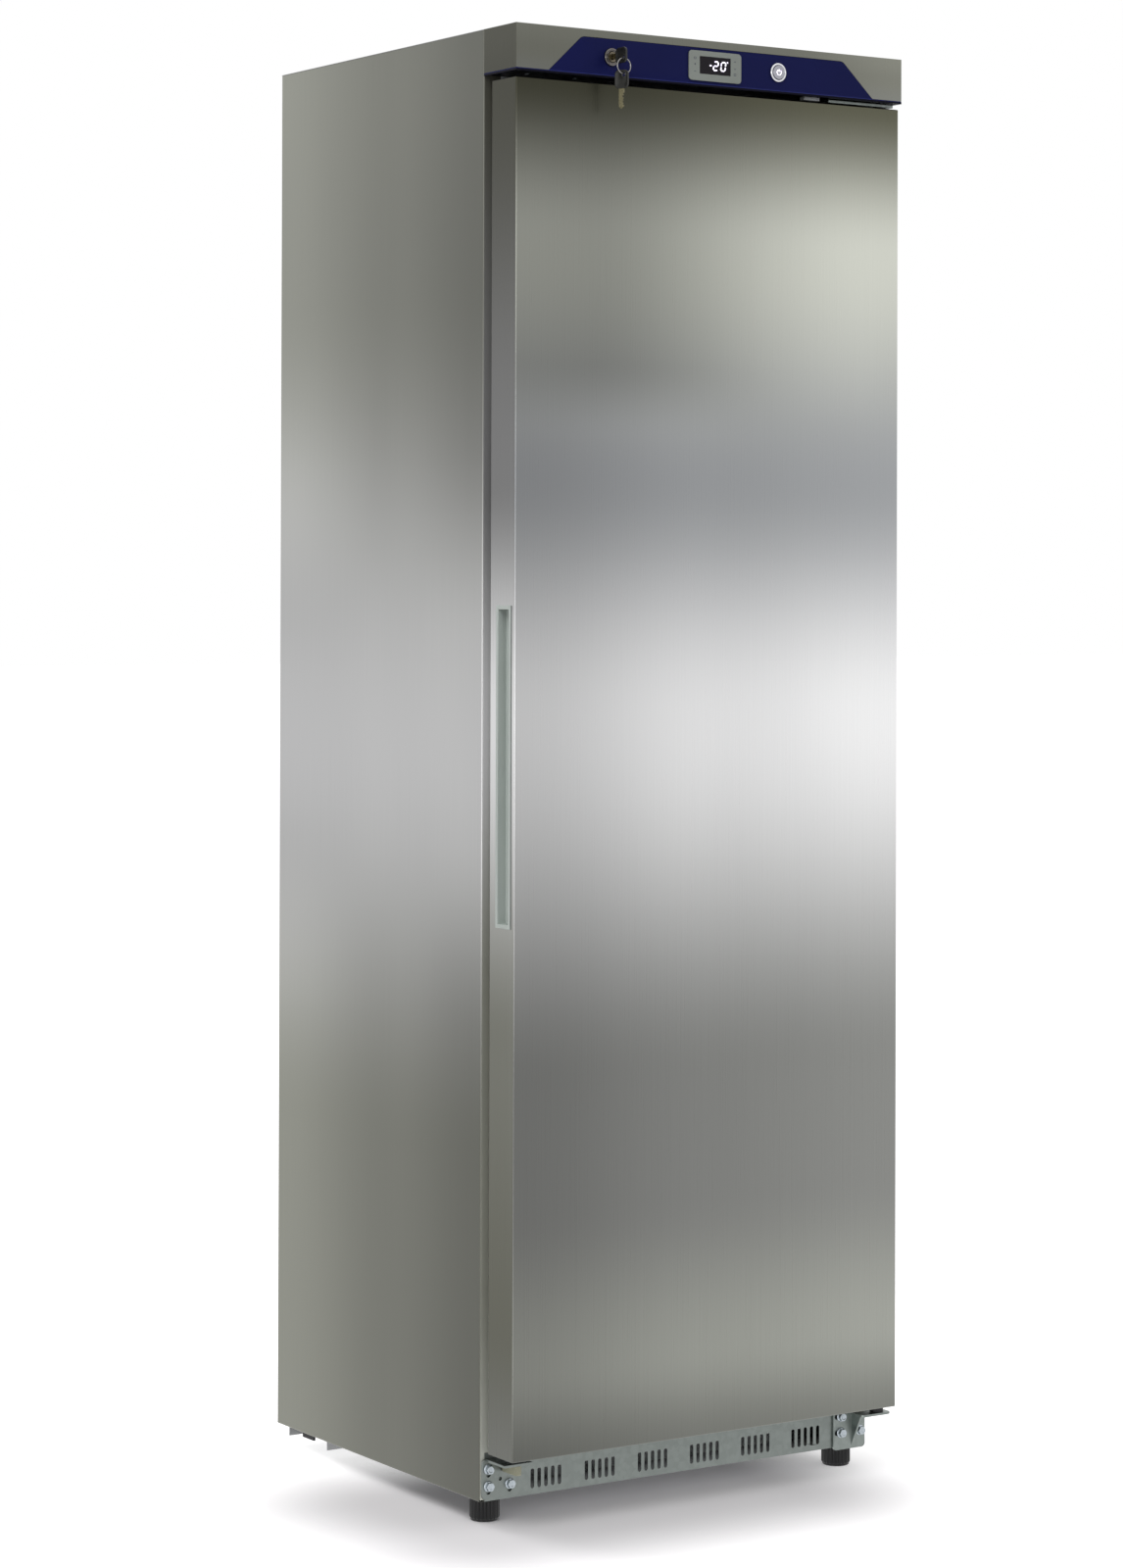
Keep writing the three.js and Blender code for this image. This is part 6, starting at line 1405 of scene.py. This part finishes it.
class FREEZER_OT_compressor(bpy.types.Operator):
    """Makes the compressor's can, its base, feet and stubs, the relay's box and the cable gland"""

    bl_idname = "freezer.compressor"
    bl_label = "Compressor"

    def execute(self, context):
        """The can is a round of ellipses: (a f cos t, b f sin t), with f = 0.97 (1 - u^3)^p.

        u is the height from the seam as a share of the dome's height, up or down, p is 0.45 above the seam
        and 0.3 below it, and the seam is a rounded flange.
        """
        low, high = (np.array(corner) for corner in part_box("compressor"))
        base = low[2] + 14 * MM
        centre = np.array([low[0] + 105 * MM, (low[1] + high[1]) / 2, 0])
        half_x, half_y, height = 95 * MM, 74 * MM, 165 * MM
        seam = base + 0.55 * height
        u = np.sin(np.linspace(0, 1, 18) * np.pi / 2)
        v = u * 0.97
        up = seam + 4 * MM + u * (0.45 * height - 4 * MM)
        down = seam - 4 * MM - v / 0.97 * (0.55 * height - 4 * MM)
        above = np.stack([0.97 * (1 - u**3) ** 0.45, up], axis=1)
        below = np.stack([0.97 * (1 - v**3) ** 0.3, down], axis=1)
        rim = np.array([(0.985, -3), (0.998, -2.2), (1, 0), (0.998, 2.2), (0.985, 3)])
        flange = rim * (1, MM) + (0, seam)
        share, place = np.concatenate([below[::-1], flange, above]).T
        turn = np.arange(64) * 2 * np.pi / 64
        points = np.empty((len(share), 64, 3))
        points[..., 0] = centre[0] + half_x * share[:, None] * np.cos(turn)
        points[..., 1] = centre[1] + half_y * share[:, None] * np.sin(turn)
        points[..., 2] = place[:, None]
        can = outward(smooth(grid_object("can", points, around=True, close_first=True), 40))
        reach = np.array([105, 48]) * MM
        corners = (*(centre[:2] - reach), base), (*(centre[:2] + reach), base + 3 * MM)
        plate = slab("plate", *corners, "z", 9 * MM, 0.8 * MM)
        seat = slab("seat", (centre[0] + 60 * MM, centre[1] - 17 * MM, base + 56.4 * MM),
                    (high[0], centre[1] + 17 * MM, base + 90.4 * MM), "x", 3 * MM, 1 * MM)
        stands_for(merged("compressor_can", [can, plate, seat]), "compressor")
        self.feet(centre, low[2], base)
        self.stubs(centre, base + 60 * MM, high[2])
        eased("relay_box", 2.2, 3)
        eased("mains_inlet_gland", 0.5)
        return {"FINISHED"}

    def feet(self, centre, bottom, base):
        """A grommet below each corner of the base, turned about Z, with a waist."""
        rows = (
            (0, 0), (10.2, 0), (11, 0.8), (11, 4.4), (9.4, 6.4), (8.6, 8.4), (9.4, 11), (10.6, 12.6),
            (10.6, 14), (0, 14),
        )
        profile = [(radius * MM, bottom + height * MM) for radius, height in rows]
        feet = []
        for x in (-94, 94):
            for y in (-37, 37):
                feet.append(turned("grommet", "z", centre + (x * MM, y * MM, 0), profile, 32))
        settle(merged("compressor_grommets", feet), "cabinet", "rubber")

    def stubs(self, centre, bottom, top):
        """Two copper stubs, turned about Z, with a small chamfer at the top."""
        stubs = []
        for x in (-45, 45):
            at = centre + (x * MM, 30 * MM, 0)
            collar = bottom + 92 * MM
            profile = [
                (0, bottom), (5 * MM, bottom), (5 * MM, collar), (5 * MM, top - 0.6 * MM), (4.4 * MM, top),
                (0, top),
            ]
            stubs.append(turned("stub", "z", at, profile, 20))
        settle(merged("compressor_stubs", stubs), "cabinet", "copper_bare")


STUDIO_LEVEL = 1.2
STUDIO_STRIP = 3.1
STRIP_TOWARDS = (-0.839, -0.545, 0.0)
VIEW_TURN = (33.049, 0.432, 0.167)
VIEW_PLACE = (-2762.9, -3966.0, 1178.3)
VIEW_FOCUS = 3830.5
PHOTO_HEIGHT = 1600


class FREEZER_OT_stage(bpy.types.Operator):
    """Makes the floor, the studio's light and the camera"""

    bl_idname = "freezer.stage"
    bl_label = "Stage"

    def execute(self, context):
        sizes = context.scene.freezer_stage
        scene = context.scene
        scene.view_settings.view_transform = "Standard"
        self.floor()
        self.world(scene, sizes.fill)
        self.lamps(sizes.key)
        self.camera(scene)
        return {"FINISHED"}

    def floor(self):
        reach = 40.0
        corners = [(-reach, -reach, 0), (reach, -reach, 0), (reach, reach, 0), (-reach, reach, 0)]
        floor = mesh_object("floor", corners, [(0, 1, 2, 3)])
        paper = Finish("floor_paper", roughness=1.0, shine=0.0)
        greys = [(0.3, linear(225, 223, 225)), (0.7, linear(227, 225, 227))]
        paper.colour(paper.ramp(paper.noise(0.6), greys))
        paper.shader.inputs["Emission Color"].default_value = (1, 1, 1, 1)
        # The floor glows white for the camera away from a rectangle at the cabinet's front and left; over
        # that rectangle the glow is held back, which paints the shape of the floor's shadow.
        away = paper.spread(self.distance_from_shadow_patch(paper), 0.02, 0.33, 0.0, 0.8, smooth_step=True)
        rays = paper.node("LightPath")
        seen = paper.node("Math", operation="MULTIPLY")
        paper.link(rays.outputs["Is Camera Ray"], seen.inputs[0])
        paper.link(away, seen.inputs[1])
        paper.link(seen.outputs[0], paper.shader.inputs["Emission Strength"])
        floor.data.materials.append(paper.material)
        floor.visible_glossy = False

    def distance_from_shadow_patch(self, paper):
        """How far a place on the floor is from a rectangle: the length of max(|place - middle| - half, 0).
        The rectangle lies at the cabinet's front and left, where the glow is held back to paint the shape of
        the floor's shadow.
        """
        low, high = placed(-330, -60, 0), placed(110, 150, 0)
        middle, half = (low + high) / 2, (high - low) / 2
        step = paper.place
        steps = (("SUBTRACT", middle), ("ABSOLUTE", None), ("SUBTRACT", half), ("MAXIMUM", (0, 0, 0)))
        for operation, other in steps:
            made = paper.node("VectorMath", operation=operation)
            paper.link(step, made.inputs[0])
            if other is not None:
                made.inputs[1].default_value = (other[0], other[1], 0.0)
            step = made.outputs["Vector"]
        far = paper.node("VectorMath", operation="LENGTH")
        paper.link(step, far.inputs[0])
        return far.outputs["Value"]

    def world(self, scene, fill):
        """Rays from the camera see white, glossy rays a soft studio that brightens and darkens with height,
        and all others one plain level."""
        world = bpy.data.worlds.new("studio")
        world.use_nodes = True
        scene.world = world
        tree = world.node_tree
        tree.nodes.clear()
        output = tree.nodes.new("ShaderNodeOutputWorld")
        rays = tree.nodes.new("ShaderNodeLightPath")
        place = tree.nodes.new("ShaderNodeTexCoord")
        split = tree.nodes.new("ShaderNodeSeparateXYZ")
        tree.links.new(place.outputs["Generated"], split.inputs[0])
        height = tree.nodes.new("ShaderNodeMapRange")
        height.inputs["From Min"].default_value = -1.0
        height.inputs["From Max"].default_value = 1.0
        tree.links.new(split.outputs["Z"], height.inputs["Value"])
        ramp = tree.nodes.new("ShaderNodeValToRGB")
        ramp.color_ramp.interpolation = "EASE"
        stops = [
            (0.0, 0.95), (0.3, 0.85), (0.42, 0.78), (0.46, 0.86), (0.485, 1.0), (0.505, 1.0), (0.53, 0.88),
            (0.56, 0.95), (0.62, 0.82), (0.75, 0.95), (1.0, 1.0),
        ]
        points = ramp.color_ramp.elements
        points[0].position, points[0].color = stops[0][0], (stops[0][1],) * 3 + (1,)
        points[1].position, points[1].color = stops[-1][0], (stops[-1][1],) * 3 + (1,)
        for at, level in stops[1:-1]:
            points.new(at).color = (level, level, level, 1)
        tree.links.new(height.outputs["Result"], ramp.inputs["Fac"])
        white = tree.nodes.new("ShaderNodeBackground")
        white.inputs["Color"].default_value = (1, 1, 1, 1)
        studio = tree.nodes.new("ShaderNodeBackground")
        tree.links.new(ramp.outputs["Color"], studio.inputs["Color"])
        tree.links.new(self.strip(tree, place.outputs["Generated"]), studio.inputs["Strength"])
        plain = tree.nodes.new("ShaderNodeBackground")
        plain.inputs["Color"].default_value = (1, 1, 1, 1)
        plain.inputs["Strength"].default_value = fill
        for_gloss = tree.nodes.new("ShaderNodeMixShader")
        tree.links.new(rays.outputs["Is Glossy Ray"], for_gloss.inputs["Fac"])
        tree.links.new(plain.outputs[0], for_gloss.inputs[1])
        tree.links.new(studio.outputs[0], for_gloss.inputs[2])
        seen = tree.nodes.new("ShaderNodeMath")
        seen.operation = "MAXIMUM"
        tree.links.new(rays.outputs["Is Camera Ray"], seen.inputs[0])
        tree.links.new(rays.outputs["Is Transmission Ray"], seen.inputs[1])
        both = tree.nodes.new("ShaderNodeMixShader")
        tree.links.new(seen.outputs[0], both.inputs["Fac"])
        tree.links.new(for_gloss.outputs[0], both.inputs[1])
        tree.links.new(white.outputs[0], both.inputs[2])
        tree.links.new(both.outputs[0], output.inputs["Surface"])

    def strip(self, tree, way):
        """The studio's strength: a plain level, raised in the level direction that the upright folds mirror.

        It rises as the length of (x, y, 3 z) - that direction falls, so that only level rays meet it.
        """
        flat = tree.nodes.new("ShaderNodeVectorMath")
        flat.operation = "MULTIPLY"
        tree.links.new(way, flat.inputs[0])
        flat.inputs[1].default_value = (1.0, 1.0, 3.0)
        away = tree.nodes.new("ShaderNodeVectorMath")
        away.operation = "DISTANCE"
        tree.links.new(flat.outputs["Vector"], away.inputs[0])
        away.inputs[1].default_value = STRIP_TOWARDS
        level = tree.nodes.new("ShaderNodeMapRange")
        level.interpolation_type = "SMOOTHSTEP"
        tree.links.new(away.outputs["Value"], level.inputs["Value"])
        range_and_levels = (0.3, 0.68, STUDIO_STRIP, STUDIO_LEVEL)
        for socket, number in zip(("From Min", "From Max", "To Min", "To Max"), range_and_levels):
            level.inputs[socket].default_value = number
        return level.outputs["Result"]

    def lamps(self, power):
        middle = Vector((0, 0, 0.9))
        for name, at, size, share in (
            ("key", (-2.6, -2.6, 4.2), 3.0, 0.55),
            ("fill", (3.0, -3.4, 3.2), 3.0, 0.3),
            ("rim", (-1.5, 3.8, 3.6), 3.0, 0.5),
        ):
            lamp = bpy.data.lights.new(name, "AREA")
            lamp.shape = "DISK"
            lamp.size = size
            lamp.energy = power * share
            holder = bpy.data.objects.new(name, lamp)
            holder.location = at
            holder.rotation_mode = "QUATERNION"
            holder.rotation_quaternion = (Vector(at) - middle).to_track_quat("Z", "Y")
            holder.visible_glossy = False
            bpy.context.scene.collection.objects.link(holder)

    def camera(self, scene):
        """The place and turn come from the photograph's vanishing lines, worked out round the cabinet."""
        yaw, pitch, roll = (math.radians(angle) for angle in VIEW_TURN)
        forward = Vector((math.sin(yaw) * math.cos(pitch), math.cos(yaw) * math.cos(pitch), math.sin(pitch)))
        level = Vector((math.cos(yaw), -math.sin(yaw), 0))
        above = level.cross(forward)
        right = math.cos(roll) * level + math.sin(roll) * above
        up = -math.sin(roll) * level + math.cos(roll) * above
        data = bpy.data.cameras.new("camera")
        data.sensor_fit = "AUTO"
        data.sensor_width = 36.0
        data.lens = VIEW_FOCUS * data.sensor_width / PHOTO_HEIGHT
        data.shift_y = -0.15
        holder = bpy.data.objects.new("camera", data)
        turn = Matrix((right, up, -forward)).transposed()
        holder.matrix_world = Matrix.Translation(Vector(placed(*VIEW_PLACE))) @ turn.to_4x4()
        scene.collection.objects.link(holder)
        scene.camera = holder


class FREEZER_PT_sidebar(bpy.types.Panel):
    bl_idname = "FREEZER_PT_sidebar"
    bl_label = "Freezer"
    bl_space_type = "VIEW_3D"
    bl_region_type = "UI"
    bl_category = "Freezer"

    def draw(self, context):
        for name in GROUPS:
            group = getattr(context.scene, name)
            column = self.layout.column(align=True)
            for field in group.bl_rna.properties:
                if field.identifier not in ("rna_type", "name"):
                    column.prop(group, field.identifier)
        column = self.layout.column(align=True)
        for operator in OPERATORS:
            column.operator(operator.bl_idname)


GROUPS = {
    "freezer_steel": FreezerSteel,
    "freezer_colours": FreezerColours,
    "freezer_coils": FreezerCoils,
    "freezer_stage": FreezerStage,
}
OPERATORS = (
    FREEZER_OT_finishes, FREEZER_OT_door, FREEZER_OT_gasket, FREEZER_OT_sides, FREEZER_OT_shell,
    FREEZER_OT_fascia, FREEZER_OT_display, FREEZER_OT_button, FREEZER_OT_lock, FREEZER_OT_keys,
    FREEZER_OT_brackets, FREEZER_OT_feet, FREEZER_OT_shelves, FREEZER_OT_condenser,
    FREEZER_OT_compressor, FREEZER_OT_stage,
)


def register():
    for name, group in GROUPS.items():
        bpy.utils.register_class(group)
        setattr(bpy.types.Scene, name, PointerProperty(type=group))
    for operator in OPERATORS:
        bpy.utils.register_class(operator)
    bpy.utils.register_class(FREEZER_PT_sidebar)


def unregister():
    bpy.utils.unregister_class(FREEZER_PT_sidebar)
    for operator in reversed(OPERATORS):
        bpy.utils.unregister_class(operator)
    for name, group in GROUPS.items():
        delattr(bpy.types.Scene, name)
        bpy.utils.unregister_class(group)


def main():
    register()
    for operator in OPERATORS:
        getattr(bpy.ops.freezer, operator.bl_idname.split(".")[1])()


if __name__ == "__main__":
    main()
